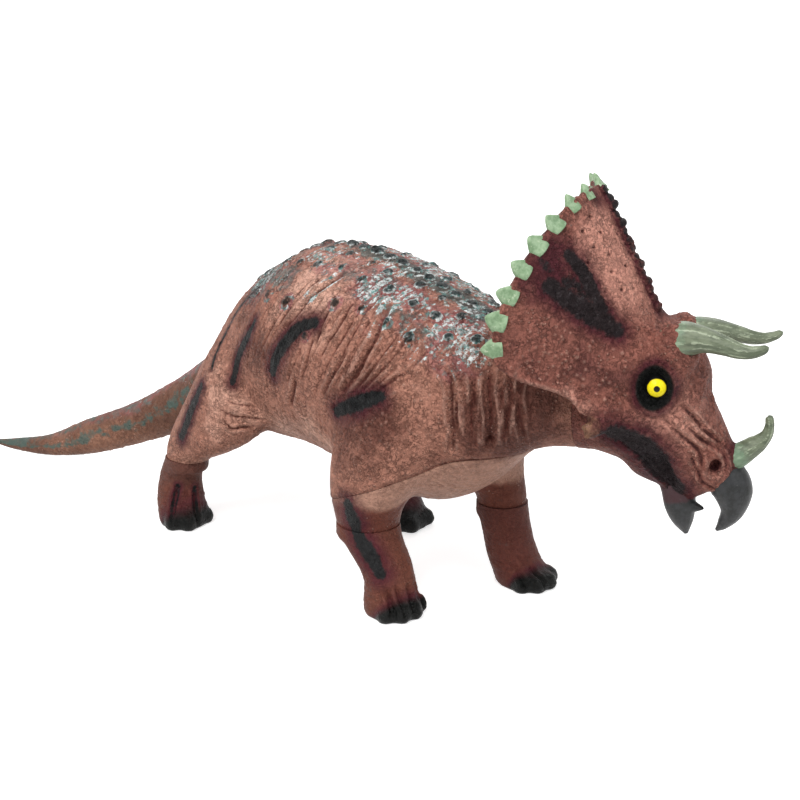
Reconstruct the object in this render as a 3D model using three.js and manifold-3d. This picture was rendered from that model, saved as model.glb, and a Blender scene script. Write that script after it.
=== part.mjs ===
// Soft vinyl horned dinosaur figure, about 52 cm from beak to tail tip, in a walking pose.
// X runs towards the head, Y towards the figure's own left and Z upwards. Millimetres.
//
// The skin is a set of cast pieces. Head, tail and the four legs each carry a stub with a
// flange, which is pushed through a round rim in the body and turns in it. Every soft form
// is a loft: a table of stations, smoothed along its length and closed at both ends.
// Figures between 0 and 1 in the tables are shares of the sizes named here.
import * as THREE from 'three';
import { mergeVertices } from 'three/addons/utils/BufferGeometryUtils.js';
import Module from 'manifold-3d';

const wasm = await Module();
wasm.setup();

// Overall sizes of the castings.
const bodyLength = 280;        // tail root to neck root
const bodyWidth = 120;         // across the ribs
const backHeight = 180;        // ground to the top of the back
const tailLength = 185;        // tail root to tip
const tailRadius = 20;         // of the tail's root
const neckRadius = 28;
const headLength = 100;        // neck root to nose
const headHeight = 120;        // of the head and frill above the neck's axis
const headWidth = 80;          // across the cheeks
const foreLegHeight = 44;      // ground to the seam at the top of a foreleg
const hindLegHeight = 42;
const strideLegRadius = 17.5;  // foreleg that pushes off
const standLegRadius = 14.5;   // foreleg that reaches ahead
const hindLegRadius = 13;

// Seats and clearances.
const seam = 0.3;              // gap between two castings that touch
const overrun = 2;             // how far a cutting tool passes what it cuts
const weld = 0.0001;           // points closer than this are one point
const rimThickness = 3;        // vinyl rim that a flange snaps behind
const flangeThickness = 3;
const flangeStep = 2.4;        // how far a flange stands out past its stub
const stubShare = 0.55;        // stub radius against the limb's radius at its seam
const chestRise = 8;           // chest casting's edge above the foreleg seams
const tongueLength = 28;       // locating tongue between the body and the chest casting
const tongueWidth = 34;
const tongueHeight = 5;

// Details of the skin.
const foldRadius = 2.4;        // half width of the deepest fold of skin
const creaseRadius = 1.7;      // half width of a crease on the snout
const noduleRadius = 4.6;      // largest round scute along the spine
const tabLength = 12.5;        // of one scallop along the frill's edge
const tabReach = 4;            // how far it stands out
const tabThickness = 6;
const frillThickness = 7;
const ridgeRadius = 4.5;       // knobs up the middle of the frill
const toeLength = 7;
const toeWidth = 5.6;
const toeHeight = 11;
const hornLength = 43;
const hornRadius = 9.5;
const noseHornLength = 24;
const noseHornRadius = 7;
const beakLength = 34;         // of the upper beak, root to tip
const beakWidth = 22;
const lowerBeakLength = 24;
const lowerBeakWidth = 17;
const eyeRadius = 6.4;
const nostrilRadius = 3.6;
const mouthGap = 2;
const mouthDepth = 5;
const jugalLength = 12;        // spike at the point of the cheek
const jugalRadius = 7;

// Numbers of faces.
const bodySides = 26;
const headSides = 24;
const limbSides = 14;
const roundSides = 12;
const hornSides = 10;
const bumpSides = 6;
const toeSides = 8;
const smoothSteps = 3;

const vinyl = (color, roughness = 0.55) =>
  new THREE.MeshStandardMaterial({ color, roughness, metalness: 0 });
const quarter = Math.PI / 2;
const up = new THREE.Vector3(0, 0, 1);
const vector = (x, y, z) => new THREE.Vector3(x, y, z);

// Solids.

const toSolid = (geometry) => {
  const bare = geometry.clone();
  bare.deleteAttribute('normal');
  bare.deleteAttribute('uv');
  const merged = mergeVertices(bare, weld);
  return new wasm.Manifold(new wasm.Mesh({
    numProp: 3,
    vertProperties: new Float32Array(merged.attributes.position.array),
    triVerts: new Uint32Array(merged.index.array),
  }));
};

const toMesh = (name, solid, material) => {
  const { numProp, vertProperties, triVerts } = solid.getMesh();
  const points = new Float32Array((vertProperties.length / numProp) * 3);
  for (let i = 0; i < points.length / 3; i++) {
    for (let k = 0; k < 3; k++) points[3 * i + k] = vertProperties[numProp * i + k];
  }
  const geometry = new THREE.BufferGeometry();
  geometry.setAttribute('position', new THREE.BufferAttribute(points, 3));
  geometry.setIndex([...triVerts]);
  geometry.computeVertexNormals();
  const mesh = new THREE.Mesh(geometry, material);
  mesh.name = name;
  return mesh;
};

const join = (solids) => solids.reduce((sum, next) => sum.add(next));
const cut = (solid, tools) => tools.reduce((rest, tool) => rest.subtract(tool), solid);

// Smooths a table of stations along its length.
const smooth = (rows, steps = smoothSteps) => {
  const at = (i) => rows[Math.min(Math.max(i, 0), rows.length - 1)];
  const fine = [];
  for (let i = 0; i < rows.length - 1; i++) {
    for (let k = 0; k < steps; k++) {
      const t = k / steps;
      fine.push(at(i).map((value, c) => {
        const [a, b, d, e] = [at(i - 1)[c], value, at(i + 1)[c], at(i + 2)[c]];
        return b + t / 2 * (d - a + t * (2 * a - 5 * b + 4 * d - e + t * (3 * (b - d) + e - a)));
      }));
    }
  }
  fine.push(rows.at(-1));
  return fine;
};

// A ring is an oval about a centre, in the plane of its two unit vectors.
const ringPoint = (ring, angle) => {
  const rise = Math.sin(angle) > 0 ? ring.rise : ring.drop;
  return ring.centre.clone()
    .addScaledVector(ring.side, ring.half * Math.cos(angle))
    .addScaledVector(ring.over, rise * Math.sin(angle));
};

const loft = (rings, sides) => {
  const points = [];
  const faces = [];
  for (const ring of rings) {
    for (let k = 0; k < sides; k++) points.push(...ringPoint(ring, (4 * quarter * k) / sides));
  }
  for (let i = 0; i < rings.length - 1; i++) {
    for (let k = 0; k < sides; k++) {
      const [a, b] = [i * sides + k, i * sides + (k + 1) % sides];
      faces.push(a, a + sides, b, b, a + sides, b + sides);
    }
  }
  const last = (rings.length - 1) * sides;
  const [start, end] = [points.length / 3, points.length / 3 + 1];
  points.push(...rings[0].centre, ...rings.at(-1).centre);
  for (let k = 0; k < sides; k++) {
    const next = (k + 1) % sides;
    faces.push(start, k, next, end, last + next, last + k);
  }
  const geometry = new THREE.BufferGeometry();
  geometry.setAttribute('position', new THREE.Float32BufferAttribute(points, 3));
  geometry.setIndex(faces);
  return facingOut(geometry);
};

const facingOut = (geometry) => {
  const { position } = geometry.attributes;
  const index = [...geometry.index.array];
  const [a, b, c] = [vector(), vector(), vector()];
  let volume = 0;
  for (let i = 0; i < index.length; i += 3) {
    a.fromBufferAttribute(position, index[i]);
    b.fromBufferAttribute(position, index[i + 1]);
    c.fromBufferAttribute(position, index[i + 2]);
    volume += a.dot(b.cross(c));
  }
  if (volume < 0) geometry.setIndex(index.reverse());
  return geometry;
};

// A ring square to a heading, which is turned by yaw and then raised by pitch.
const headingRing = (centre, yaw, pitch, half, rise, drop) => {
  const side = vector(-Math.sin(yaw), Math.cos(yaw), 0);
  const forward = vector(
    Math.cos(yaw) * Math.cos(pitch), Math.sin(yaw) * Math.cos(pitch), Math.sin(pitch));
  return { centre, side, over: forward.cross(side), half, rise, drop };
};

const levelRing = (centre, halfLength, halfWidth) => ({
  centre, side: vector(1, 0, 0), over: vector(0, 1, 0),
  half: halfLength, rise: halfWidth, drop: halfWidth,
});

// Rings of a round bar that trails from the first point of a path.
const trailingRings = (points, radii) => points.map((centre, i) => {
  const back = points[Math.min(i + 1, points.length - 1)];
  const facing = points[Math.max(i - 1, 0)].clone().sub(back).normalize();
  const yaw = Math.atan2(facing.y, facing.x);
  return headingRing(centre, yaw, Math.asin(facing.z), radii[i], radii[i], radii[i]);
});

const ringsPerSideShare = 0.6;
const ball = (centre, radii, turn = new THREE.Quaternion(), sides = roundSides) => {
  const geometry = new THREE.SphereGeometry(1, sides, Math.ceil(sides * ringsPerSideShare));
  geometry.applyMatrix4(new THREE.Matrix4().compose(centre, turn, radii));
  return toSolid(geometry);
};

const block = (centre, size, turn = new THREE.Quaternion()) => {
  const geometry = new THREE.BoxGeometry(size.x, size.y, size.z);
  geometry.applyMatrix4(new THREE.Matrix4().compose(centre, turn, vector(1, 1, 1)));
  return toSolid(geometry);
};

// Turns a profile of [radius, distance along the axis] about an axis.
const turned = (profile, centre, axis) => {
  const geometry = new THREE.LatheGeometry(
    profile.map(([radius, along]) => new THREE.Vector2(radius, along)), roundSides);
  const turn = new THREE.Quaternion().setFromUnitVectors(vector(0, 1, 0), axis);
  geometry.applyMatrix4(new THREE.Matrix4().compose(centre, turn, vector(1, 1, 1)));
  const bare = geometry.clone();
  bare.deleteAttribute('normal');
  bare.deleteAttribute('uv');
  return toSolid(facingOut(mergeVertices(bare, weld)));
};

// Snap joints. The axis points out of the limb into the body that holds it. The socket's
// flats, not its corners, stand clear of the stub, so the stub can turn.
const flatShare = Math.cos((2 * quarter) / roundSides);

const stub = ({ centre, axis, radius }) => turned([
  [0, -overrun - seam],
  [radius, -overrun - seam],
  [radius, rimThickness + seam],
  [radius + flangeStep, rimThickness + seam],
  [radius, rimThickness + seam + flangeThickness],
  [0, rimThickness + seam + flangeThickness],
], centre, axis);

const stubSocket = ({ centre, axis, radius }) => {
  const bore = (radius + seam) / flatShare;
  const chamber = (radius + seam + flangeStep) / flatShare;
  return turned([
    [0, -overrun],
    [bore, -overrun],
    [bore, rimThickness],
    [chamber, rimThickness],
    [chamber, rimThickness + 2 * seam + flangeThickness],
    [0, rimThickness + 2 * seam + flangeThickness],
  ], centre, axis);
};

// Body: tail root, rump, ribs, shoulders and neck root.
// Rows hold x, y, z, yaw, pitch, half width, rise and drop.
const torsoShares = [
  [-0.329, -0.025, 0.444, 0.111, 0.244, 0.242, 0.161, 0.15],
  [-0.243, -0.008, 0.528, 0.033, 0.133, 0.342, 0.233, 0.233],
  [-0.143, 0, 0.589, 0, 0.067, 0.425, 0.306, 0.289],
  [-0.029, 0, 0.639, 0, 0.022, 0.483, 0.339, 0.317],
  [0.107, 0, 0.656, 0, 0, 0.508, 0.333, 0.339],
  [0.232, 0, 0.639, 0, -0.033, 0.492, 0.322, 0.339],
  [0.35, 0.008, 0.617, 0.033, -0.056, 0.433, 0.3, 0.333],
  [0.443, 0.05, 0.622, 0.133, -0.056, 0.35, 0.256, 0.25],
  [0.518, 0.133, 0.656, 0.267, -0.033, 0.275, 0.194, 0.144],
];
const tailRootShares = [-0.393, -0.05, 0.383, 0.24, 0.34];
const neckRootShares = [0.579, 0.242, 0.683, 0.356, 0];

const makeRoot = ([x, y, z, yaw, pitch], radius) => ({
  centre: vector(x * bodyLength, y * bodyWidth, z * backHeight),
  yaw: yaw * quarter,
  pitch: pitch * quarter,
  radius: stubShare * radius,
});
const tailRoot = makeRoot(tailRootShares, tailRadius);
const neckRoot = makeRoot(neckRootShares, neckRadius);
const heading = ({ yaw, pitch }) => vector(
  Math.cos(yaw) * Math.cos(pitch), Math.sin(yaw) * Math.cos(pitch), Math.sin(pitch));
tailRoot.axis = heading(tailRoot);
neckRoot.axis = heading(neckRoot).negate();

const torsoRows = smooth([
  [...tailRoot.centre, tailRoot.yaw, tailRoot.pitch, tailRadius, tailRadius, tailRadius],
  ...torsoShares.map(([x, y, z, yaw, pitch, half, rise, drop]) => [
    x * bodyLength, y * bodyWidth, z * backHeight, yaw * quarter, pitch * quarter,
    half * bodyWidth, rise * backHeight, drop * backHeight]),
  [...neckRoot.centre, neckRoot.yaw, neckRoot.pitch, neckRadius, neckRadius, neckRadius],
]);
const torsoRings = torsoRows.map(([x, y, z, ...rest]) => headingRing(vector(x, y, z), ...rest));

// Point and outward direction on the torso at a share of its length and an angle about it.
const onTorso = (share, angle) => {
  const place = share * (torsoRings.length - 1);
  const i = Math.min(Math.floor(place), torsoRings.length - 2);
  const t = place - i;
  const [a, b] = [torsoRings[i], torsoRings[i + 1]];
  const point = ringPoint(a, angle).lerp(ringPoint(b, angle), t);
  const along = ringPoint(b, angle).sub(ringPoint(a, angle));
  const nudge = quarter / bodySides;
  const round = ringPoint(a, angle + nudge).lerp(ringPoint(b, angle + nudge), t).sub(point);
  return { point, out: along.cross(round).normalize().negate() };
};

// Legs. Each has a seam centre, the rows of the shoulder or thigh above it and the rows of
// the leg below it. Rows hold x, y, z, half length and half width.
const shoulderRightShares = [
  [0.321, -0.183, 0.678, 0.1, 0.217],
  [0.307, -0.308, 0.544, 0.114, 0.2],
  [0.282, -0.367, 0.411, 0.104, 0.175],
  [0.27, -0.379, 0.311, 0.079, 0.163],
];
const shoulderLeftShares = [
  [0.321, 0.183, 0.678, 0.096, 0.2],
  [0.314, 0.283, 0.544, 0.096, 0.167],
  [0.321, 0.283, 0.411, 0.068, 0.142],
  [0.336, 0.283, 0.311, 0.054, 0.125],
];
const thighRightShares = [
  [-0.171, -0.133, 0.689, 0.1, 0.217],
  [-0.171, -0.258, 0.556, 0.121, 0.225],
  [-0.186, -0.358, 0.422, 0.132, 0.183],
  [-0.232, -0.433, 0.311, 0.104, 0.15],
];
const thighLeftShares = [
  [-0.157, 0.133, 0.689, 0.1, 0.217],
  [-0.136, 0.258, 0.556, 0.121, 0.225],
  [-0.1, 0.35, 0.422, 0.121, 0.167],
  [-0.064, 0.367, 0.311, 0.079, 0.133],
];
const foreRightShares = [
  [0.114, -0.023, 0.818, 0.96, 0.96],
  [0.295, -0.03, 0.636, 0.903, 0.903],
  [0.432, -0.039, 0.477, 0.834, 0.834],
  [0.5, -0.057, 0.318, 0.817, 0.817],
  [0.545, -0.08, 0.136, 0.886, 0.886],
  [0.568, -0.091, 0, 0.857, 0.857],
];
const foreLeftShares = [
  [0.057, 0, 0.773, 0.979, 0.979],
  [0.136, 0, 0.545, 0.993, 0.979],
  [0.227, 0, 0.341, 1.062, 1.007],
  [0.352, 0.011, 0.159, 1.172, 1.034],
  [0.409, 0.023, 0, 1.172, 1],
];
const hindRightShares = [
  [-0.143, -0.012, 0.714, 0.985, 0.985],
  [-0.143, -0.029, 0.476, 1.077, 1.077],
  [-0.083, -0.048, 0.262, 1.192, 1.154],
  [-0.048, -0.06, 0.095, 1.192, 1.115],
  [-0.048, -0.06, 0, 1.154, 1.077],
];
const hindLeftShares = [
  [0.024, -0.024, 0.762, 0.985, 0.985],
  [0.19, -0.048, 0.524, 1.038, 1.038],
  [0.357, -0.071, 0.286, 1.154, 1.154],
  [0.452, -0.071, 0.095, 1.192, 1.115],
  [0.464, -0.071, 0, 1.154, 1.077],
];

const makeLeg = ({ name, height, radius, seatShares, upperShares, lowerShares }) => {
  const [xShare, yShare] = seatShares;
  const centre = vector(xShare * bodyLength, yShare * bodyWidth, height);
  const upper = smooth([
    ...upperShares.map(([x, y, z, a, b]) => [
      x * bodyLength, y * bodyWidth, z * backHeight, a * bodyLength, b * bodyWidth]),
    [...centre, radius, radius],
  ]);
  const lower = smooth([
    [0, 0, 1, 1, 1],
    ...lowerShares,
  ], 2).map(([x, y, z, a, b]) => [
    centre.x + x * height, centre.y + y * height, z * height, a * radius, b * radius]);
  lower[0][2] -= seam;
  const rings = (rows) => rows.map(([x, y, z, a, b]) => levelRing(vector(x, y, z), a, b));
  return {
    name,
    centre,
    axis: up,
    radius: stubShare * radius,
    upper: toSolid(loft(rings(upper), limbSides)),
    lower: toSolid(loft(rings(lower), limbSides)),
    sole: rings(lower).at(-1),
  };
};

const [rightFore, leftFore, rightHind, leftHind] = [
  {
    name: 'right_fore_leg', height: foreLegHeight, radius: strideLegRadius,
    seatShares: [0.27, -0.375], upperShares: shoulderRightShares, lowerShares: foreRightShares,
  },
  {
    name: 'left_fore_leg', height: foreLegHeight, radius: standLegRadius,
    seatShares: [0.348, 0.283], upperShares: shoulderLeftShares, lowerShares: foreLeftShares,
  },
  {
    name: 'right_hind_leg', height: hindLegHeight, radius: hindLegRadius,
    seatShares: [-0.279, -0.479], upperShares: thighRightShares, lowerShares: hindRightShares,
  },
  {
    name: 'left_hind_leg', height: hindLegHeight, radius: hindLegRadius,
    seatShares: [-0.05, 0.367], upperShares: thighLeftShares, lowerShares: hindLeftShares,
  },
].map(makeLeg);
const legs = [rightFore, leftFore, rightHind, leftHind];

// Toes fan out round the front of each foot: angle from straight ahead, in right angles.
const toeShares = { fore: [-0.6, -0.2, 0.22, 0.62], hind: [-0.72, -0.26, 0.6] };
const toeSpreadShare = 0.84;
const toeCentreShare = 0.35;

const foot = (leg) => {
  const turns = leg.name.includes('fore') ? toeShares.fore : toeShares.hind;
  const toes = turns.map((turn) => {
    const angle = turn * quarter;
    const centre = leg.sole.centre.clone().add(vector(
      Math.cos(angle) * leg.sole.half * toeSpreadShare,
      Math.sin(angle) * leg.sole.rise * toeSpreadShare,
      toeHeight * toeCentreShare));
    const spin = new THREE.Quaternion().setFromAxisAngle(up, angle);
    return ball(
      centre, vector(toeLength, toeWidth, toeHeight * (1 - toeCentreShare)), spin, toeSides);
  });
  const ground = block(
    leg.sole.centre.clone().setZ(-toeHeight / 2),
    vector(4 * leg.sole.half, 4 * leg.sole.half, toeHeight));
  return cut(join([leg.lower, ...toes, stub(leg)]), [ground]);
};

// Rows of round scutes: place along the back, angle off the spine in right angles, size.
const noduleRows = [
  { offShare: 0, fromShare: 0.12, toShare: 0.92, count: 16, sizeShare: 1 },
  { offShare: 0.2, fromShare: 0.14, toShare: 0.86, count: 11, sizeShare: 0.85 },
  { offShare: 0.42, fromShare: 0.2, toShare: 0.84, count: 8, sizeShare: 0.75 },
];
const sunkShare = 0.25;
const staggerShare = 0.4;      // how far one flank's scutes are shifted from the other's
const endShrinkShare = 0.35;   // how much smaller the scutes are at both ends of a row
const nodules = [];
for (const { offShare, fromShare, toShare, count, sizeShare } of noduleRows) {
  for (const flank of offShare ? [-1, 1] : [1]) {
    for (let i = 0; i < count; i++) {
      const place = (i + (flank < 0 ? 0 : staggerShare)) / count;
      const share = fromShare + (toShare - fromShare) * place;
      const { point, out } = onTorso(share, quarter * (1 + flank * offShare));
      const radius = noduleRadius * sizeShare * (1 - endShrinkShare * Math.abs(2 * share - 1));
      const centre = point.addScaledVector(out, -radius * sunkShare);
      const spin = new THREE.Quaternion().setFromUnitVectors(vector(0, 1, 0), out);
      nodules.push(ball(centre, vector(radius, radius, radius), spin, bumpSides));
    }
  }
}

// The body is cut along a slope that climbs from the forelegs to the throat. What lies below
// the slope is the chest casting, which carries the two foreleg rims.
const slopeShare = 0.616;      // the slope's climb, as a share of the back's height, per body length
const slopeTurn = new THREE.Quaternion().setFromAxisAngle(
  vector(0, 1, 0), -Math.atan2(slopeShare * backHeight, bodyLength));
const slopeOut = up.clone().applyQuaternion(slopeTurn);
const slopeFoot = rightFore.centre.clone().add(vector(-strideLegRadius, 0, chestRise)).setY(0);
const slopeAlong = vector(1, 0, 0).applyQuaternion(slopeTurn);
const throatShare = 0.33;      // how far the slope reaches past its foot, short of the neck
const slabDepth = bodyLength / 2;
const slabBelow = (lift) => block(
  slopeFoot.clone()
    .addScaledVector(slopeAlong, (throatShare - 1) * bodyLength)
    .addScaledVector(slopeOut, lift - slabDepth / 2),
  vector(2 * bodyLength, 2 * bodyWidth, slabDepth), slopeTurn);

// Folds of skin, cut as shallow grooves into both flanks. Stations hold a share of the torso's
// length and an angle off the spine in right angles.
const folds = [
  { sizeShare: 1, stations: [[0.75, 0.6], [0.785, 0.78], [0.8, 1.03], [0.795, 1.14]] },
  { sizeShare: 0.8, stations: [[0.805, 0.6], [0.82, 0.75], [0.825, 1.1]] },
  { sizeShare: 1, stations: [[0.835, 0.6], [0.85, 0.85], [0.855, 1.12]] },
  { sizeShare: 0.85, stations: [[0.895, 0.62], [0.9, 0.92], [0.905, 1.35]] },
  { sizeShare: 0.8, stations: [[0.675, 0.87], [0.7, 0.75], [0.745, 0.62]] },
  { sizeShare: 0.9, stations: [[0.61, 0.96], [0.632, 0.76], [0.618, 0.36]] },
  { sizeShare: 0.65, stations: [[0.555, 0.85], [0.565, 0.64], [0.567, 0.45]] },
  { sizeShare: 0.65, stations: [[0.52, 0.99], [0.53, 0.74]] },
  { sizeShare: 0.9, stations: [[0.465, 0.73], [0.485, 0.5], [0.505, 0.3]] },
  { sizeShare: 0.8, stations: [[0.505, 1.01], [0.483, 1.19]] },
];
const grooveEndShare = 0.3;
const grooveOpenShare = 2.5;   // how far its tool stands out, so that no groove is roofed over
const swell = (i, count) =>
  grooveEndShare + (1 - grooveEndShare) * Math.sin((2 * quarter * i) / (count - 1));

// A bar along surface points, to cut a groove. Each point comes with the direction out of the
// surface.
const grooveTool = (places, halfWidth, depth) => toSolid(loft(places.map(({ point, out }, i) => {
  const next = places[Math.min(i + 1, places.length - 1)].point;
  const along = next.clone().sub(places[Math.max(i - 1, 0)].point);
  const share = swell(i, places.length);
  return {
    centre: point, side: along.cross(out).normalize(), over: out,
    half: halfWidth * share, rise: grooveOpenShare * halfWidth * share, drop: depth * share,
  };
}), bumpSides));
const foldTool = ({ sizeShare, stations }, flank) => grooveTool(
  smooth(stations, 2).map(([share, off]) => onTorso(share, quarter * (1 + flank * off))),
  foldRadius * sizeShare, foldRadius * sizeShare);

const whole = cut(
  join([toSolid(loft(torsoRings, bodySides)), ...legs.map((leg) => leg.upper)]),
  folds.flatMap((fold) => [-1, 1].map((flank) => foldTool(fold, flank))));

const tongueShare = 0.17;
const tongueCentre = slopeFoot.clone().addScaledVector(slopeAlong, bodyLength * tongueShare);
const tongue = (gap) => block(
  tongueCentre,
  vector(tongueLength + 2 * gap, tongueWidth + 2 * gap, 2 * (tongueHeight + gap)), slopeTurn);

const body = cut(join([cut(whole, [slabBelow(seam)]), ...nodules]), [
  tongue(seam), stubSocket(tailRoot), stubSocket(neckRoot),
  stubSocket(rightHind), stubSocket(leftHind)]);
const chest = cut(join([whole.intersect(slabBelow(0)), whole.intersect(tongue(0))]),
  [stubSocket(rightFore), stubSocket(leftFore)]);

// Tail.
const tailShares = [
  [-0.135, -0.049, -0.086, 0.825],
  [-0.297, -0.151, -0.181, 0.65],
  [-0.459, -0.243, -0.254, 0.56],
  [-0.595, -0.319, -0.305, 0.35],
  [-0.719, -0.384, -0.322, 0.2],
  [-0.789, -0.422, -0.324, 0.09],
];
const tailRows = smooth([[0, 0, 0, 1], ...tailShares]);
const tailPoints = tailRows.map(([x, y, z]) =>
  vector(x, y, z).multiplyScalar(tailLength).add(tailRoot.centre));
const tailRings = trailingRings(tailPoints, tailRows.map((row) => row[3] * tailRadius));
Object.assign(tailRings[0], headingRing(
  tailRoot.centre.clone().addScaledVector(tailRoot.axis, -seam),
  tailRoot.yaw, tailRoot.pitch, tailRadius, tailRadius, tailRadius));
const tail = join([toSolid(loft(tailRings, limbSides)), stub(tailRoot)]);

// Head. Its stations lie in the upright plane through the neck's axis: distance ahead,
// distance above, pitch, half width, rise and drop.
const skullShares = [
  [0.12, 0.033, -0.056, 0.388, 0.267, 0.267],
  [0.24, 0.042, -0.156, 0.438, 0.317, 0.292],
  [0.36, 0, -0.244, 0.412, 0.35, 0.283],
  [0.46, -0.067, -0.333, 0.338, 0.308, 0.292],
  [0.56, -0.158, -0.422, 0.263, 0.2, 0.242],
  [0.65, -0.258, -0.5, 0.2, 0.158, 0.192],
  [0.72, -0.333, -0.556, 0.138, 0.117, 0.117],
];
const ahead = heading(neckRoot);
const leftward = up.clone().cross(ahead);
const inHead = (u, s, z) => neckRoot.centre.clone()
  .addScaledVector(ahead, u).addScaledVector(leftward, s).addScaledVector(up, z);
const skullRows = smooth([
  [seam, 0, 0, neckRadius, neckRadius, neckRadius],
  ...skullShares.map(([u, z, pitch, half, rise, drop]) => [
    u * headLength, z * headHeight, pitch * quarter,
    half * headWidth, rise * headHeight, drop * headHeight]),
]);
const skullRings = skullRows.map(([u, z, pitch, half, rise, drop]) =>
  headingRing(inHead(u, 0, z), neckRoot.yaw, pitch, half, rise, drop));

// Frill: a thick sheet spread between the line where it leaves the skull and its free edge.
// Rows hold distance ahead, distance to the side and distance above, for one half.
const frillEdgeShares = [
  [0.04, 0, 0.933],
  [-0.03, 0.287, 0.908],
  [-0.11, 0.475, 0.817],
  [-0.2, 0.6, 0.7],
  [-0.27, 0.688, 0.567],
  [-0.33, 0.75, 0.417],
  [-0.33, 0.738, 0.275],
  [-0.24, 0.675, 0.175],
  [-0.08, 0.588, 0.125],
  [0.08, 0.525, 0.058],
];
const frillBaseShares = [
  [0.36, 0, 0.375],
  [0.35, 0.087, 0.375],
  [0.33, 0.163, 0.358],
  [0.31, 0.237, 0.333],
  [0.29, 0.3, 0.292],
  [0.27, 0.35, 0.242],
  [0.25, 0.388, 0.192],
  [0.23, 0.412, 0.133],
  [0.22, 0.425, 0.067],
  [0.2, 0.438, -0.017],
];
const frillColumns = 5;
const frillThinningShare = 0.35;
const headPoint = ([u, s, z], flank) =>
  inHead(u * headLength, flank * s * headWidth, z * headHeight);
const bothHalves = (rows) => {
  const fine = smooth(rows, 2);
  return [
    ...fine.slice(1).reverse().map((row) => headPoint(row, -1)),
    ...fine.map((row) => headPoint(row, 1)),
  ];
};
const frillEdge = bothHalves(frillEdgeShares);
const frillBase = bothHalves(frillBaseShares);

const frillSheet = () => {
  const middle = frillEdge.map((edge, i) => Array.from(
    { length: frillColumns + 1 },
    (_, k) => frillBase[i].clone().lerp(edge, k / frillColumns)));
  const normals = middle.map((row, i) => row.map((point, k) => {
    const before = middle[Math.max(i - 1, 0)][k];
    const after = middle[Math.min(i + 1, middle.length - 1)][k];
    const inner = row[Math.max(k - 1, 0)];
    const outer = row[Math.min(k + 1, frillColumns)];
    return after.clone().sub(before).cross(outer.clone().sub(inner)).normalize();
  }));
  const rows = middle.length;
  const wide = frillColumns + 1;
  const points = [];
  for (const face of [-1, 1]) {
    middle.forEach((row, i) => row.forEach((point, k) => {
      const half = frillThickness / 2 * (1 - frillThinningShare * k / frillColumns);
      points.push(...point.clone().addScaledVector(normals[i][k], face * half));
    }));
  }
  const faces = [];
  const quad = (a, b, c, d) => faces.push(a, b, c, a, c, d);
  const back = rows * wide;
  for (let i = 0; i < rows - 1; i++) {
    for (let k = 0; k < wide - 1; k++) {
      const a = i * wide + k;
      quad(a, a + 1, a + wide + 1, a + wide);
      quad(back + a, back + a + wide, back + a + wide + 1, back + a + 1);
    }
    for (const k of [0, wide - 1]) {
      const a = i * wide + k;
      const corners = [a, a + wide, back + a + wide, back + a];
      quad(...(k ? corners.reverse() : corners));
    }
  }
  for (const i of [0, rows - 1]) {
    for (let k = 0; k < wide - 1; k++) {
      const a = i * wide + k;
      const corners = [a, back + a, back + a + 1, a + 1];
      quad(...(i ? corners.reverse() : corners));
    }
  }
  const geometry = new THREE.BufferGeometry();
  geometry.setAttribute('position', new THREE.Float32BufferAttribute(points, 3));
  geometry.setIndex(faces);
  return toSolid(facingOut(geometry));
};

// Scallops along the upper part of the free edge, evenly spaced, and knobs up the middle.
const tabCount = 19;
const tabSpanShares = [0.15, 0.85];
const edgePath = new THREE.CatmullRomCurve3(frillEdge);
const basePath = new THREE.CatmullRomCurve3(frillBase);
const tabs = Array.from({ length: tabCount }, (_, i) => {
  const [from, to] = tabSpanShares;
  const share = from + (to - from) * i / (tabCount - 1);
  const point = edgePath.getPointAt(share);
  const along = edgePath.getTangentAt(share);
  const outward = point.clone().sub(basePath.getPointAt(share));
  outward.addScaledVector(along, -along.dot(outward)).normalize();
  const turn = new THREE.Quaternion().setFromRotationMatrix(
    new THREE.Matrix4().makeBasis(outward, along, outward.clone().cross(along)));
  return ball(point, vector(tabReach, tabLength / 2, tabThickness / 2), turn, bumpSides);
});
const ridgeShares = [0.12, 0.27, 0.42, 0.57, 0.72, 0.87];
const ridgeTaperShare = 0.3;
const ridgeBase = headPoint(frillBaseShares[0], 1);
const ridgeTop = headPoint(frillEdgeShares[0], 1);
const ridge = ridgeShares.map((share) => {
  const radius = ridgeRadius * (1 - ridgeTaperShare * share);
  const centre = ridgeBase.clone().lerp(ridgeTop, share);
  centre.addScaledVector(ahead, frillThickness / 2);
  return ball(centre, vector(radius, radius, radius), undefined, bumpSides);
});

// Horns, beak, cheek spikes and eyes. Each path holds offsets ahead, to the side and above,
// then the half width across and in the upright plane. Growth widens a piece into the tool
// that cuts its bonded seat.
const pathBar = (rows, [originU, originS, originZ], length, width, flank = 1, growth = 0) => {
  const fine = smooth(rows, 2);
  const points = fine.map(([u, s, z]) => inHead(
    originU * headLength + u * length,
    flank * (originS * headWidth + s * length),
    originZ * headHeight + z * length));
  points[0].addScaledVector(points[1].clone().sub(points[0]).normalize(), -growth);
  const rings = points.map((centre, i) => {
    const next = points[Math.min(i + 1, points.length - 1)];
    const along = next.clone().sub(points[Math.max(i - 1, 0)]).normalize();
    const side = leftward.clone().addScaledVector(along, -along.dot(leftward)).normalize();
    const [, , , across, upright] = fine[i];
    const deep = upright * width + growth;
    return {
      centre, side, over: along.clone().cross(side),
      half: across * width + growth, rise: deep, drop: deep,
    };
  });
  return toSolid(loft(rings, hornSides));
};

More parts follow.
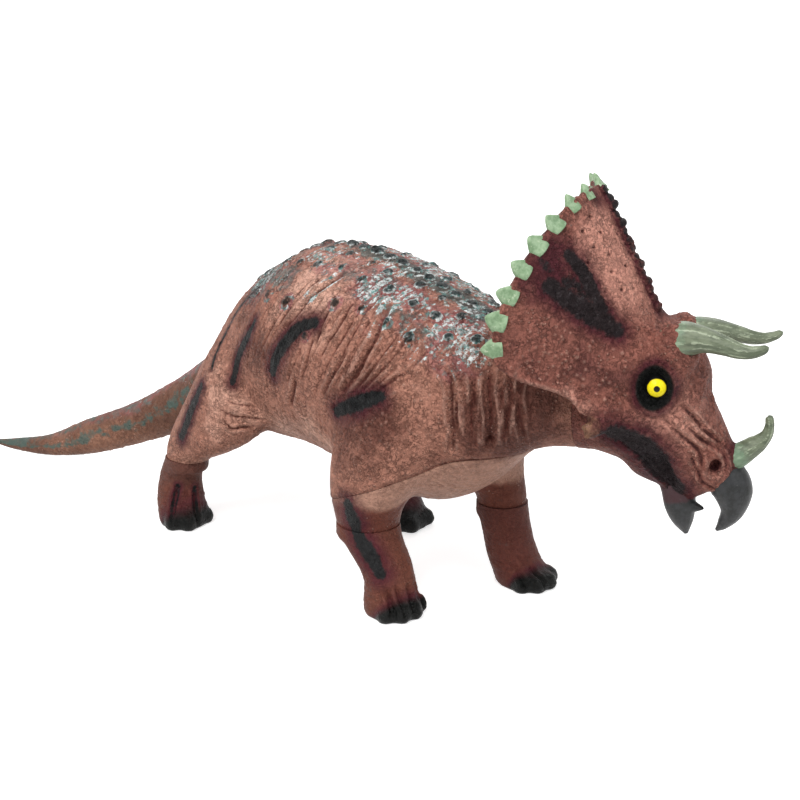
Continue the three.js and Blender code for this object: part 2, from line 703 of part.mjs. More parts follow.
const browHornOriginShares = { right: [0.54, 0.255, 0.34], left: [0.54, 0.25, 0.305] };
const browHornShares = [
  [-0.12, -0.03, -0.06, 0.85, 0.85],
  [0, 0, 0, 1, 1],
  [0.18, 0.035, 0.03, 0.82, 0.82],
  [0.34, 0.07, 0.02, 0.65, 0.65],
  [0.5, 0.1, -0.01, 0.54, 0.54],
  [0.64, 0.125, -0.04, 0.45, 0.45],
  [0.78, 0.145, -0.045, 0.36, 0.36],
  [0.9, 0.16, -0.01, 0.24, 0.24],
  [1, 0.17, 0.05, 0.05, 0.05],
];
const browHorn = (flank, growth = 0) =>
  pathBar(browHornShares, browHornOriginShares[flank < 0 ? 'right' : 'left'],
    hornLength, hornRadius, flank, growth);

const noseHornOriginShares = [0.81, 0, -0.208];
const noseHornShares = [
  [-0.2, 0, -0.17, 0.9, 0.9],
  [0, 0, 0, 1, 1],
  [0.3, 0, 0.25, 0.85, 0.85],
  [0.48, 0, 0.38, 0.7, 0.7],
  [0.64, 0, 0.56, 0.5, 0.5],
  [0.7, 0, 0.77, 0.3, 0.3],
  [0.69, 0, 1, 0.06, 0.06],
];
const noseHorn = (growth = 0) =>
  pathBar(noseHornShares, noseHornOriginShares, noseHornLength, noseHornRadius, 1, growth);

const upperBeakOriginShares = [0.735, 0, -0.27];
const upperBeakShares = [
  [0, 0, 0, 0.42, 0.32],
  [0.1, 0, -0.14, 0.48, 0.45],
  [0.19, 0, -0.36, 0.44, 0.45],
  [0.19, 0, -0.65, 0.3, 0.27],
  [0.08, 0, -0.87, 0.16, 0.14],
  [0, 0, -1, 0.04, 0.04],
];
const upperBeak = (growth = 0) =>
  pathBar(upperBeakShares, upperBeakOriginShares, beakLength, beakWidth, 1, growth);

const lowerBeakOriginShares = [0.515, 0, -0.385];
const lowerBeakShares = [
  [0, 0, 0, 0.48, 0.4],
  [0.1, 0, -0.36, 0.46, 0.4],
  [0.18, 0, -0.7, 0.32, 0.28],
  [0.24, 0, -1, 0.06, 0.06],
];
const lowerBeak = (growth = 0) =>
  pathBar(lowerBeakShares, lowerBeakOriginShares, lowerBeakLength, lowerBeakWidth, 1, growth);

const jugalOriginShares = [0.17, 0.47, -0.03];
const jugalShares = [
  [0, -0.5, 0.3, 0.9, 0.9],
  [0, 0, 0, 0.8, 0.8],
  [-0.35, 0.3, -0.28, 0.4, 0.4],
  [-0.6, 0.5, -0.5, 0.06, 0.06],
];
const jugal = (flank) =>
  pathBar(jugalShares, jugalOriginShares, jugalLength, jugalRadius, flank);

// Bulges of bone round each eye and under each brow horn.
const bulgeShares = {
  orbit: { centre: [0.43, 0.27, 0.15], half: [0.15, 0.11, 0.115] },
  brow: { centre: [0.5, 0.235, 0.27], half: [0.13, 0.14, 0.11] },
};
const bulge = ({ centre, half }, flank) => ball(
  headPoint(centre, flank),
  vector(...half).multiply(vector(headLength, headWidth, headHeight)),
  new THREE.Quaternion().setFromAxisAngle(up, neckRoot.yaw));

// Creases down the snout, and the hollow below each cheek that the mouth lies in.
const creases = [
  { sizeShare: 1, shares: [[0.55, 0.29, 0.06], [0.68, 0.18, -0.07], [0.76, 0.11, -0.15]] },
  { sizeShare: 0.9, shares: [[0.5, 0.33, -0.01], [0.63, 0.24, -0.13], [0.68, 0.18, -0.29]] },
];
const lipHollow = {
  shares: [[0.24, 0.39, -0.09], [0.41, 0.31, -0.17], [0.47, 0.16, -0.27], [0.51, 0.13, -0.36]],
  halfWidthShare: 2.6,
};
const onFace = (shares, flank) => smooth(shares, 2).map((row) => ({
  point: headPoint(row, flank), out: leftward.clone().multiplyScalar(flank),
}));
const faceTools = (flank) => [
  ...creases.map(({ sizeShare, shares }) => grooveTool(
    onFace(shares, flank), creaseRadius * sizeShare, creaseRadius * sizeShare)),
  grooveTool(
    onFace(lipHollow.shares, flank), creaseRadius * lipHollow.halfWidthShare, creaseRadius),
];

const nostrilShares = [0.71, 0.15, -0.22];
const nostril = (flank) => ball(
  headPoint(nostrilShares, flank), vector(nostrilRadius, nostrilRadius, nostrilRadius),
  undefined, bumpSides);

const eyeShares = [0.425, 0.325, 0.142];
const eyeCentre = (flank) => headPoint(eyeShares, flank);
const bowlShares = { centre: [0.425, 0.395, 0.142], half: [0.095, 0.044, 0.1] };
const eye = (flank, growth = 0) => {
  const radius = eyeRadius + growth;
  return ball(eyeCentre(flank), vector(radius, radius, radius));
};

// Closed mouth: a groove along each side, from the corner to the beak.
const mouthShares = [[0.2, -0.117], [0.32, -0.125], [0.43, -0.21], [0.52, -0.33], [0.64, -0.4]];
const mouthGroove = () => {
  const path = smooth(mouthShares, 3).map(([u, z]) => [u * headLength, z * headHeight]);
  const offset = (sign) => path.map(([u, z], i) => {
    const [pu, pz] = path[Math.max(i - 1, 0)];
    const [nu, nz] = path[Math.min(i + 1, path.length - 1)];
    const span = Math.hypot(nu - pu, nz - pz);
    const half = sign * mouthGap / 2;
    return new THREE.Vector2(u - half * (nz - pz) / span, z + half * (nu - pu) / span);
  });
  const shape = new THREE.Shape([...offset(1), ...offset(-1).reverse()]);
  const geometry = new THREE.ExtrudeGeometry(shape, { depth: 2 * headWidth, bevelEnabled: false });
  geometry.translate(0, 0, -headWidth);
  geometry.applyMatrix4(new THREE.Matrix4()
    .makeBasis(ahead, up, leftward.clone().negate()).setPosition(neckRoot.centre));
  const core = skullRings.map((ring) => ({
    ...ring, half: Math.max(ring.half - mouthDepth, mouthGap),
  }));
  return toSolid(geometry).subtract(toSolid(loft(core, roundSides)));
};

const head = cut(
  join([
    toSolid(loft(skullRings, headSides)), frillSheet(), ...tabs, ...ridge,
    ...[-1, 1].flatMap((flank) => Object.values(bulgeShares).map((one) => bulge(one, flank))),
    jugal(-1), jugal(1), stub(neckRoot)]),
  [
    browHorn(-1, seam), browHorn(1, seam), noseHorn(seam), upperBeak(seam), lowerBeak(seam),
    eye(-1, seam), eye(1, seam), nostril(-1), nostril(1), mouthGroove(),
    ...[-1, 1].flatMap((flank) => [bulge(bowlShares, flank), ...faceTools(flank)]),
  ]);

const colours = {
  body: '#a2705c', chest: '#ad7d68', head: '#96604f', tail: '#8c7766', leg: '#a06a56',
  horn: '#a9b8a6', beak: '#45403c', eye: '#d6bd55',
};

const group = new THREE.Group();
group.add(
  toMesh('body_casting', body, vinyl(colours.body)),
  toMesh('chest_casting', chest, vinyl(colours.chest)),
  toMesh('tail', tail, vinyl(colours.tail)),
  toMesh('head_casting', head, vinyl(colours.head)),
  toMesh('right_brow_horn', browHorn(-1), vinyl(colours.horn, 0.45)),
  toMesh('left_brow_horn', browHorn(1), vinyl(colours.horn, 0.45)),
  toMesh('nose_horn', cut(noseHorn(), [upperBeak(seam)]), vinyl(colours.horn, 0.45)),
  toMesh('upper_beak', upperBeak(), vinyl(colours.beak, 0.4)),
  toMesh('lower_beak', lowerBeak(), vinyl(colours.beak, 0.4)),
  toMesh('right_eye', eye(-1), vinyl(colours.eye, 0.15)),
  toMesh('left_eye', eye(1), vinyl(colours.eye, 0.15)),
  ...legs.map((leg) => toMesh(leg.name, foot(leg), vinyl(colours.leg))),
);

// The origin is the middle of the ground under the figure.
const box = new THREE.Box3().setFromObject(group);
const middle = box.getCenter(vector());
group.position.set(-middle.x, -middle.y, -box.min.z);

export default group;
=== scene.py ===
"""Soft vinyl horned dinosaur figure in a walking pose, sculpted and painted around its frame.

Lengths are in millimetres until a mesh is handed to Blender, which works in metres.
X runs towards the head, Y towards the figure's own left and Z upwards.
"""
from __future__ import annotations

import logging
import math
from dataclasses import dataclass, field, replace
from enum import Enum

import bmesh
import bpy
import numpy as np
from mathutils import Matrix, Vector
from mathutils.bvhtree import BVHTree


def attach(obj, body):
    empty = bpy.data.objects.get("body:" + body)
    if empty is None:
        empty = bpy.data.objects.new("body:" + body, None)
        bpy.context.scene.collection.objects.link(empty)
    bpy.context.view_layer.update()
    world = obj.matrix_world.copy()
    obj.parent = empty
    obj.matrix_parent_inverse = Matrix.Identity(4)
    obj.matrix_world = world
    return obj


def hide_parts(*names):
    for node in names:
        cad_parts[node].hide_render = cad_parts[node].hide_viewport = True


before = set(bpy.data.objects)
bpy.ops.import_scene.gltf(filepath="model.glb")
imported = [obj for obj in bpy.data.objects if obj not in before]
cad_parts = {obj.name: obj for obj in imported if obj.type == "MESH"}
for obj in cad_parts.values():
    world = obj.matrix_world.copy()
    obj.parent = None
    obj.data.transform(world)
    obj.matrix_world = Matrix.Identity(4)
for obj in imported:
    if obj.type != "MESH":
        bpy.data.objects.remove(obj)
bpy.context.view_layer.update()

LOG = logging.getLogger("dinosaur")
MM = 0.001
Point = tuple[float, float, float]
Path = tuple[Point, ...]
Rows = tuple[tuple[float, ...], ...]
Array = np.ndarray
Chosen = Array | slice
EVERY = slice(None)

Shape = bmesh.types.BMesh
Mesh = bpy.types.Mesh
Object = bpy.types.Object
Material = bpy.types.Material
Tree = bpy.types.NodeTree
Node = bpy.types.Node
Socket = bpy.types.NodeSocket
Value = float | Socket


class Body(str, Enum):
    """The moving bodies of the figure."""

    TORSO = "torso"
    HEAD = "head"
    TAIL = "tail_body"
    RIGHT_FORE = "right_fore"
    LEFT_FORE = "left_fore"
    RIGHT_HIND = "right_hind"
    LEFT_HIND = "left_hind"


class Paint(str, Enum):
    """Point values that a skin carries for its paint, each from 0 to 1."""

    INK = "ink"
    BLUSH = "blush"
    FROST = "frost"
    RISE = "rise"
    CLAW = "claw"
    LIMB = "limb"
    TEAL = "teal"
    # Paler or deeper colour: partly the paint's own uneven tone, partly painted light and shade.
    TONE = "tone"


# Number fields over space.


def unit(v: Array) -> Array:
    """Return vectors scaled to length one."""
    return v / np.maximum(np.linalg.norm(v, axis=-1, keepdims=True), 1e-9)


def ramp(low: float, high: float, x: Array) -> Array:
    """Return a soft step from 0 at low to 1 at high."""
    t = np.clip((x - low) / (high - low), 0.0, 1.0)
    return t * t * (3.0 - 2.0 * t)


def fall(low: float, high: float, x: Array) -> Array:
    """Return a soft step from 1 at low to 0 at high."""
    return 1.0 - ramp(low, high, x)


def bell(x: Array) -> Array:
    """Return a hump of 1 at 0 that fades out on both sides."""
    return np.exp(-(x**2))


def scatter(cells: Array, seed: int) -> Array:
    """Return one number from 0 to 1 for each whole-numbered cell.

    Args:
        cells: Integer cell coordinates, last axis of three.
        seed: Picks another set of numbers.

    Returns:
        An array without the last axis.
    """
    c = cells.astype(np.int64).astype(np.uint32)
    h = c[..., 0] * np.uint32(374761393) + c[..., 1] * np.uint32(668265263)
    h = h + c[..., 2] * np.uint32(2246822519) + np.uint32(seed * 3266489917 & 0xFFFFFFFF)
    h = (h ^ (h >> np.uint32(13))) * np.uint32(1274126177)
    h = (h ^ (h >> np.uint32(16))) * np.uint32(2654435761)
    return (h >> np.uint32(8)).astype(np.float64) / float(1 << 24)


def cloud(points: Array, size: float | Point, seed: int = 0, octaves: int = 1) -> Array:
    """Return smooth noise from 0 to 1.

    Args:
        points: Places in millimetres.
        size: Size of the largest blobs, alike or per axis.
        seed: Picks another pattern.
        octaves: How many finer layers are added, each half as strong.

    Returns:
        One value for each point.
    """
    total, weight, gain = np.zeros(len(points)), 0.0, 1.0
    p = points / np.asarray(size, float)
    for octave in range(octaves):
        base = np.floor(p)
        f = p - base
        f = f * f * (3.0 - 2.0 * f)
        value = np.zeros(len(points))
        for corner in range(8):
            step = np.array([corner & 1, corner >> 1 & 1, corner >> 2 & 1])
            share = np.prod(np.where(step, f, 1.0 - f), axis=1)
            value += share * scatter(base + step, seed + 17 * octave)
        total += gain * value
        weight += gain
        gain *= 0.5
        p = p * 2.03
    return total / weight


def pebbles(points: Array, size: float, seed: int = 0, part: float = 1.0) -> tuple:
    """Return rounded cells.

    Args:
        points: Places in millimetres.
        size: Width of a cell.
        seed: Picks another pattern.
        part: Share of the cells that hold a pebble.

    Returns:
        The distance to the nearest pebble's centre and the difference to the second one, both
        in cell widths.
    """
    p = points / size
    base = np.floor(p)
    first, second = np.full(len(p), 9.0), np.full(len(p), 9.0)
    for dx in (-1, 0, 1):
        for dy in (-1, 0, 1):
            for dz in (-1, 0, 1):
                cell = base + (dx, dy, dz)
                spot = cell + np.stack([scatter(cell, seed + k) for k in (1, 2, 3)], -1)
                far = np.linalg.norm(p - spot, axis=1)
                if part < 1.0:
                    far = np.where(scatter(cell, seed + 4) < part, far, 9.0)
                second = np.minimum(second, np.maximum(first, far))
                first = np.minimum(first, far)
    return first, second - first


def resample(path: Path, steps: int = 4) -> Array:
    """Return a smooth line through the points of a path.

    Args:
        path: Places that the line passes through.
        steps: Points for each stretch.

    Returns:
        The line's points.
    """
    p = np.asarray(path, float)
    if len(p) == 1:
        return p
    padded = np.vstack([2 * p[0] - p[1], p, 2 * p[-1] - p[-2]])
    fine = []
    for i in range(len(p) - 1):
        a, b, c, d = padded[i : i + 4]
        for t in np.arange(steps) / steps:
            fine.append(
                b + t / 2 * (c - a + t * (2 * a - 5 * b + 4 * c - d + t * (3 * (b - c) + d - a)))
            )
    return np.vstack([*fine, p[-1:]])


def marks_along(line: Array) -> Array:
    """Return the length along a line up to each of its points."""
    return np.concatenate([[0.0], np.cumsum(np.linalg.norm(np.diff(line, axis=0), axis=1))])


def place_on(line: Array, marks: Array, mark: float) -> Array:
    """Return the place on a line at one of its marks."""
    return np.array([np.interp(mark, marks, line[:, k]) for k in range(3)])


def line_distance(points: Array, line: Array) -> tuple[Array, Array]:
    """Return each point's distance to a line, and where along it that is.

    Args:
        points: Places in millimetres.
        line: The line's points.

    Returns:
        Distances, and shares of the line's length from 0 to 1.
    """
    if len(line) == 1:
        return np.linalg.norm(points - line[0], axis=1), np.full(len(points), 0.5)
    lengths = np.linalg.norm(np.diff(line, axis=0), axis=1)
    starts = marks_along(line)
    best, place = np.full(len(points), 1e9), np.zeros(len(points))
    for i, (a, b) in enumerate(zip(line[:-1], line[1:])):
        along = np.clip((points - a) @ (b - a) / max(lengths[i] ** 2, 1e-9), 0.0, 1.0)
        far = np.linalg.norm(points - a - along[:, None] * (b - a), axis=1)
        nearer = far < best
        best = np.where(nearer, far, best)
        place = np.where(nearer, (starts[i] + along * lengths[i]) / starts[-1], place)
    return best, place


# Skins.


def to_mesh(shape: Shape, name: str) -> Mesh:
    """Turn a shape into a mesh and free it.

    Args:
        shape: The shape, in metres.
        name: Name of the mesh.

    Returns:
        The mesh.
    """
    mesh = bpy.data.meshes.new(name)
    shape.to_mesh(mesh)
    shape.free()
    return mesh


@dataclass(frozen=True)
class Plug:
    """A short bar that carries a casting on past its seam while it is smoothed."""

    centre: Point
    axis: Point
    radius: float
    length: float = 8.0

    def add_to(self, shape: Shape) -> None:
        """Add the bar, half on each side of the seam.

        Args:
            shape: Shape in metres that gets it.
        """
        turn = Vector((0, 0, 1)).rotation_difference(Vector(self.axis)).to_matrix().to_4x4()
        bmesh.ops.create_cone(
            shape,
            cap_ends=True,
            segments=48,
            radius1=self.radius * MM,
            radius2=self.radius * MM,
            depth=2 * self.length * MM,
            matrix=Matrix.Translation(Vector(self.centre) * MM) @ turn,
        )


@dataclass(frozen=True)
class Seam:
    """A flat cut across a casting, with the side that is taken away."""

    centre: Point
    away: Point
    reach: float
    gap: float = 0.1

    def cut(self, shape: Shape) -> None:
        """Take away what lies past the seam within its reach, and close the cut.

        Args:
            shape: Shape in metres that is cut.
        """
        away = Vector(self.away).normalized()
        centre = Vector(self.centre) * MM
        near = [v for v in shape.verts if (v.co - centre).length < self.reach * MM]
        keep = set(near)
        edges = [e for e in shape.edges if e.verts[0] in keep and e.verts[1] in keep]
        faces = [f for f in shape.faces if all(v in keep for v in f.verts)]
        bmesh.ops.bisect_plane(
            shape,
            geom=near + edges + faces,
            plane_co=centre - away * self.gap * MM,
            plane_no=away,
            clear_outer=True,
        )
        rim = [e for e in shape.edges if e.is_boundary]
        bmesh.ops.holes_fill(shape, edges=rim, sides=0)
        for edge in rim:
            edge.smooth = False


@dataclass
class Skin:
    """A casting's outer surface as arrays, in millimetres."""

    name: str
    points: Array
    quads: Array
    paint: dict[str, Array] = field(default_factory=dict)
    normals: Array = field(init=False)
    added: Array = field(init=False)

    def __post_init__(self) -> None:
        """Prepare the neighbour lists and the normals."""
        start = self.quads.ravel()
        self._order = np.argsort(start, kind="stable")
        self._next = np.roll(self.quads, -1, axis=1).ravel()[self._order]
        self._starts = np.searchsorted(start[self._order], np.arange(len(self.points)))
        self._count = np.bincount(start, minlength=len(self.points))[:, None].astype(float)
        self.added = np.zeros(len(self.points))
        self.aim()

    @classmethod
    def wrap(
        cls, name: str, nodes: tuple[str, ...], plugs: tuple[Plug, ...], cell: float,
        rounds: int, levels: int, extra: Shape | None = None,
    ) -> Skin:
        """Return one smooth skin around some castings.

        Args:
            name: Name of the skin.
            nodes: Castings that it covers.
            plugs: Bars that carry it past its seams.
            cell: Grid size of the first wrap.
            rounds: How often it is smoothed.
            levels: How often it is subdivided.
            extra: More closed shapes to cover, in metres.

        Returns:
            The skin, with about cell over two to the levels between its points.
        """
        shape = extra or bmesh.new()
        for node in nodes:
            shape.from_mesh(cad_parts[node].data)
        for plug in plugs:
            plug.add_to(shape)
        coarse = cls._modified(
            to_mesh(shape, name), "REMESH", mode="VOXEL", voxel_size=cell * MM)
        skin = cls(name, *cls._arrays(coarse))
        skin.keep_largest()
        skin.points = skin.blur(skin.points, rounds)
        if levels:
            fine = cls._modified(skin.mesh(), "SUBSURF", levels=levels, boundary_smooth="ALL")
            skin = cls(name, *cls._arrays(fine))
        skin.aim()
        return skin

    @staticmethod
    def _modified(mesh: Mesh, kind: str, **settings: object) -> Mesh:
        """Return a mesh after one modifier.

        Args:
            mesh: The mesh, which is dropped.
            kind: The modifier's type.
            **settings: Its properties.

        Returns:
            The new mesh.
        """
        holder = bpy.data.objects.new("wrap", mesh)
        bpy.context.scene.collection.objects.link(holder)
        modifier = holder.modifiers.new("wrap", kind)
        for key, value in settings.items():
            setattr(modifier, key, value)
        seen = holder.evaluated_get(bpy.context.evaluated_depsgraph_get())
        made = bpy.data.meshes.new_from_object(seen)
        bpy.data.objects.remove(holder)
        bpy.data.meshes.remove(mesh)
        return made

    @staticmethod
    def _arrays(mesh: Mesh) -> tuple[Array, Array]:
        """Read a mesh's points and four-sided faces, and drop it.

        Args:
            mesh: The mesh.

        Returns:
            Points in millimetres and four point numbers for each face.
        """
        points = np.empty(len(mesh.vertices) * 3)
        mesh.vertices.foreach_get("co", points)
        corners = np.empty(len(mesh.loops), np.int64)
        mesh.loops.foreach_get("vertex_index", corners)
        bpy.data.meshes.remove(mesh)
        return points.reshape(-1, 3) / MM, corners.reshape(-1, 4)

    def keep_largest(self) -> None:
        """Drop every shell but the largest."""
        label = np.arange(len(self.points))
        while True:
            lower = np.minimum.reduceat(label[self._next], self._starts)
            lower = np.minimum(label, lower)
            lower = lower[lower]
            if (lower == label).all():
                break
            label = lower
        main = np.bincount(label).argmax()
        kept = label == main
        if kept.all():
            return
        number = np.cumsum(kept) - 1
        self.points = self.points[kept]
        self.quads = number[self.quads[kept[self.quads[:, 0]]]]
        self.__post_init__()

    def around(self, values: Array) -> Array:
        """Return the mean of each point's neighbours."""
        count = self._count if values.ndim > 1 else self._count[:, 0]
        return np.add.reduceat(values[self._next], self._starts, axis=0) / count

    def blur(self, values: Array, rounds: int) -> Array:
        """Smooth values over the surface.

        Args:
            values: One row for each point.
            rounds: How often.

        Returns:
            The smoothed values.
        """
        for _ in range(rounds):
            values = 0.5 * (values + self.around(values))
        return values

    def aim(self) -> None:
        """Work out the normals again."""
        p = self.points[self.quads]
        face = np.cross(p[:, 2] - p[:, 0], p[:, 3] - p[:, 1])
        corner = np.repeat(face, 4, axis=0)[self._order]
        self.normals = unit(np.add.reduceat(corner, self._starts, axis=0))

    def push(self, amount: Array, chosen: Chosen = EVERY) -> None:
        """Move points along their normals, and note the relief."""
        self.points[chosen] += self.normals[chosen] * amount[:, None]
        self.added[chosen] += amount

    def soften(self, path: Path, reach: float, rounds: int) -> None:
        """Smooth the skin near a path.

        Args:
            path: Places on the skin.
            reach: Distance within which it works.
            rounds: How often it is smoothed.
        """
        line = resample(path)
        far, _ = line_distance(self.points, line)
        share = np.exp(-((far / reach) ** 4))[:, None]
        self.points = self.points + share * (self.blur(self.points, rounds) - self.points)
        self.aim()

    def near(self, line: Array, reach: float) -> Array:
        """Return the indices of the points within reach of a line's box."""
        inside = (self.points > line.min(0) - reach) & (self.points < line.max(0) + reach)
        return np.flatnonzero(inside.all(1))

    def seat(self, line: Array) -> Array:
        """Move a line's points to the nearest points of the skin as it was wrapped.

        Args:
            line: The line's points.

        Returns:
            The seated points.
        """
        tree = getattr(self, "_tree", None)
        if tree is None:
            tree = BVHTree.FromPolygons(self.points.tolist(), self.quads.tolist())
            self._tree = tree
        return np.array([tuple(tree.find_nearest(Vector(p))[0]) for p in line])

    def wash(self, name: Paint, amount: Array, chosen: Chosen = EVERY) -> None:
        """Raise one of the paint values of points to an amount."""
        values = self.paint.setdefault(name.value, np.zeros(len(self.points)))
        values[chosen] = np.maximum(values[chosen], amount)

    def shade(self, place: Point, reach: float | Point, amount: float) -> None:
        """Make the colour paler round a place, or deeper with a negative amount: the paint's own tone,
        and in places painted light and shade.

        Args:
            place: The middle.
            reach: Distance over which it fades, alike or per axis.
            amount: How much.
        """
        old = self.paint.get(Paint.TONE.value, np.full(len(self.points), 0.5))
        off = (self.points - place) / np.asarray(reach, float)
        self.paint[Paint.TONE.value] = old + amount * np.exp(-(off**2).sum(1))

    def settle(self, rounds: int = 12, span: float = 0.9) -> None:
        """Note how far each point stands above or below its surroundings."""
        local = self.added - self.blur(self.added, rounds)
        self.paint[Paint.RISE.value] = np.clip(0.5 + 0.5 * local / span, 0.0, 1.0)

    def mesh(self) -> Mesh:
        """Build the skin's mesh in metres, with its paint values.

        Returns:
            The mesh.
        """
        made = bpy.data.meshes.new(self.name)
        made.vertices.add(len(self.points))
        made.vertices.foreach_set("co", (self.points * MM).ravel())
        made.loops.add(self.quads.size)
        made.loops.foreach_set("vertex_index", self.quads.ravel())
        made.polygons.add(len(self.quads))
        made.polygons.foreach_set("loop_start", np.arange(0, self.quads.size, 4))
        made.update(calc_edges=True)
        for key in Paint:
            values = self.paint.get(key.value)
            if values is not None:
                layer = made.attributes.new(key.value, "FLOAT", "POINT")
                layer.data.foreach_set("value", values.astype(np.float32))
        return made


# Marks on a skin: sculpted grooves and bumps, and paint strokes.

FAINT = 0.03  # Share below which a mark isn't made.


@dataclass(frozen=True)
class Groove:
    """A sculpted crease along a path, with raised lips. A negative depth makes a ridge."""

    path: Path
    width: float
    depth: float
    lip: float = 0.0

    def carve(self, skin: Skin, path: Path) -> None:
        """Push the crease into a skin.

        Args:
            skin: The skin.
            path: Where it goes: its own path or the mirrored one.
        """
        line = skin.seat(resample(path))
        chosen = skin.near(line, 5 * self.width)
        far, place = line_distance(skin.points[chosen], line)
        x = far / self.width
        ends = np.sqrt(np.clip(4.2 * place * (1 - place) + 0.08, 0.0, 1.0))
        ends = ends if len(line) > 1 else 1.0
        shape = -self.depth * np.exp(-x * x) + self.lip * np.exp(-((x - 1.9) ** 2) * 1.1)
        skin.push(shape * ends, chosen)


@dataclass(frozen=True)
class Stroke:
    """An airbrushed stroke: a dark core with a maroon haze round it."""

    path: Path
    radius: float
    haze: float = 4.0
    ink: float = 1.0
    blush: float = 1.0

    def spray(self, skin: Skin, path: Path) -> None:
        """Add the stroke to a skin's paint.

        Args:
            skin: The skin.
            path: Where it goes: its own path or the mirrored one.
        """
        line = skin.seat(resample(path))
        chosen = skin.near(line, self.radius + 2 * self.haze)
        far, place = line_distance(skin.points[chosen], line)
        size = self.radius * (0.72 + 0.28 * np.sin(np.pi * np.clip(place, 0.08, 0.92)))
        core = fall(-0.6 * self.radius, 0.4 * self.radius, far - size)
        haze = fall(-0.1 * self.haze, 1.25 * self.haze, far - size)
        skin.wash(Paint.INK, self.ink * core, chosen)
        skin.wash(Paint.BLUSH, self.blush * haze, chosen)


@dataclass(frozen=True)
class Wrinkles:
    """A field of fine creases, close together along one axis, fading out from a centre."""

    centre: Point
    spread: Point
    axis: Point
    across: float
    length: float
    depth: float
    seed: int = 0
    width: float = 0.09

    def carve(self, skin: Skin, share: Array | float = 1.0) -> None:
        """Push the creases into a skin.

        Args:
            skin: The skin to carve.
            share: Share of the depth at each of its points.
        """
        offset = (skin.points - self.centre) / self.spread
        fade = np.exp(-(offset**2).sum(1)) * share
        chosen = np.flatnonzero(fade > FAINT)
        p = skin.points[chosen]
        axis = unit(np.array(self.axis, float))
        wander = 5.0 * (cloud(p, 22.0, self.seed + 5, 2) - 0.5)
        along = (p @ axis + wander)[:, None] * axis
        stretched = (p - (p @ axis)[:, None] * axis) / self.length + along / self.across
        n = cloud(stretched, 1.0, self.seed, 2)
        crease = 1.0 - np.clip(np.abs(n - 0.5) / self.width, 0.0, 1.0)
        skin.push(-self.depth * fade[chosen] * crease**1.4, chosen)


@dataclass(frozen=True)
class Pebbling:
    """Round grains scattered over a patch of skin."""

    centre: Point
    spread: Point
    size: float
    height: float
    part: float = 1.0
    seed: int = 0

    def carve(self, skin: Skin) -> None:
        """Raise the grains from a skin.

        Args:
            skin: The skin.
        """
        offset = (skin.points - self.centre) / self.spread
        fade = np.exp(-((offset**2).sum(1) ** 1.5))
        chosen = np.flatnonzero(fade > FAINT)
        far, _ = pebbles(skin.points[chosen], self.size, self.seed, self.part)
        skin.push(self.height * fade[chosen] * fall(0.12, 0.48, far), chosen)


@dataclass(frozen=True)
class Stud:
    """A round scute that stands on a skin, painted dark."""

    place: Point
    radius: float
    height: float
    ink: float = 0.9
    rim: float = 0.0

    def raise_on(self, skin: Skin) -> None:
        """Raise the scute and paint it.

        Args:
            skin: The skin.
        """
        spot = skin.seat(np.array([self.place]))
        chosen = skin.near(spot, 2 * self.radius)
        far = np.linalg.norm(skin.points[chosen] - spot, axis=1) / self.radius
        dome = np.sqrt(np.clip(1.0 - (0.9 * far) ** 2, 0.0, 1.0)) * fall(0.8, 1.1, far)
        moat = -0.1 * bell((far - 1.25) / 0.16)
        skin.push(self.height * (dome + moat), chosen)
        skin.wash(Paint.INK, self.ink * fall(0.6, 1.15, far), chosen)
        skin.wash(Paint.FROST, self.rim * bell((far - 1.15) / 0.35), chosen)


# Shader building.


def tint(code: str) -> tuple[float, float, float, float]:
    """Return a hex colour as the linear colour that Blender wants."""
    parts = [int(code[i : i + 2], 16) / 255 for i in (1, 3, 5)]
    return (*[c / 12.92 if c <= 0.04045 else ((c + 0.055) / 1.055) ** 2.4 for c in parts], 1.0)


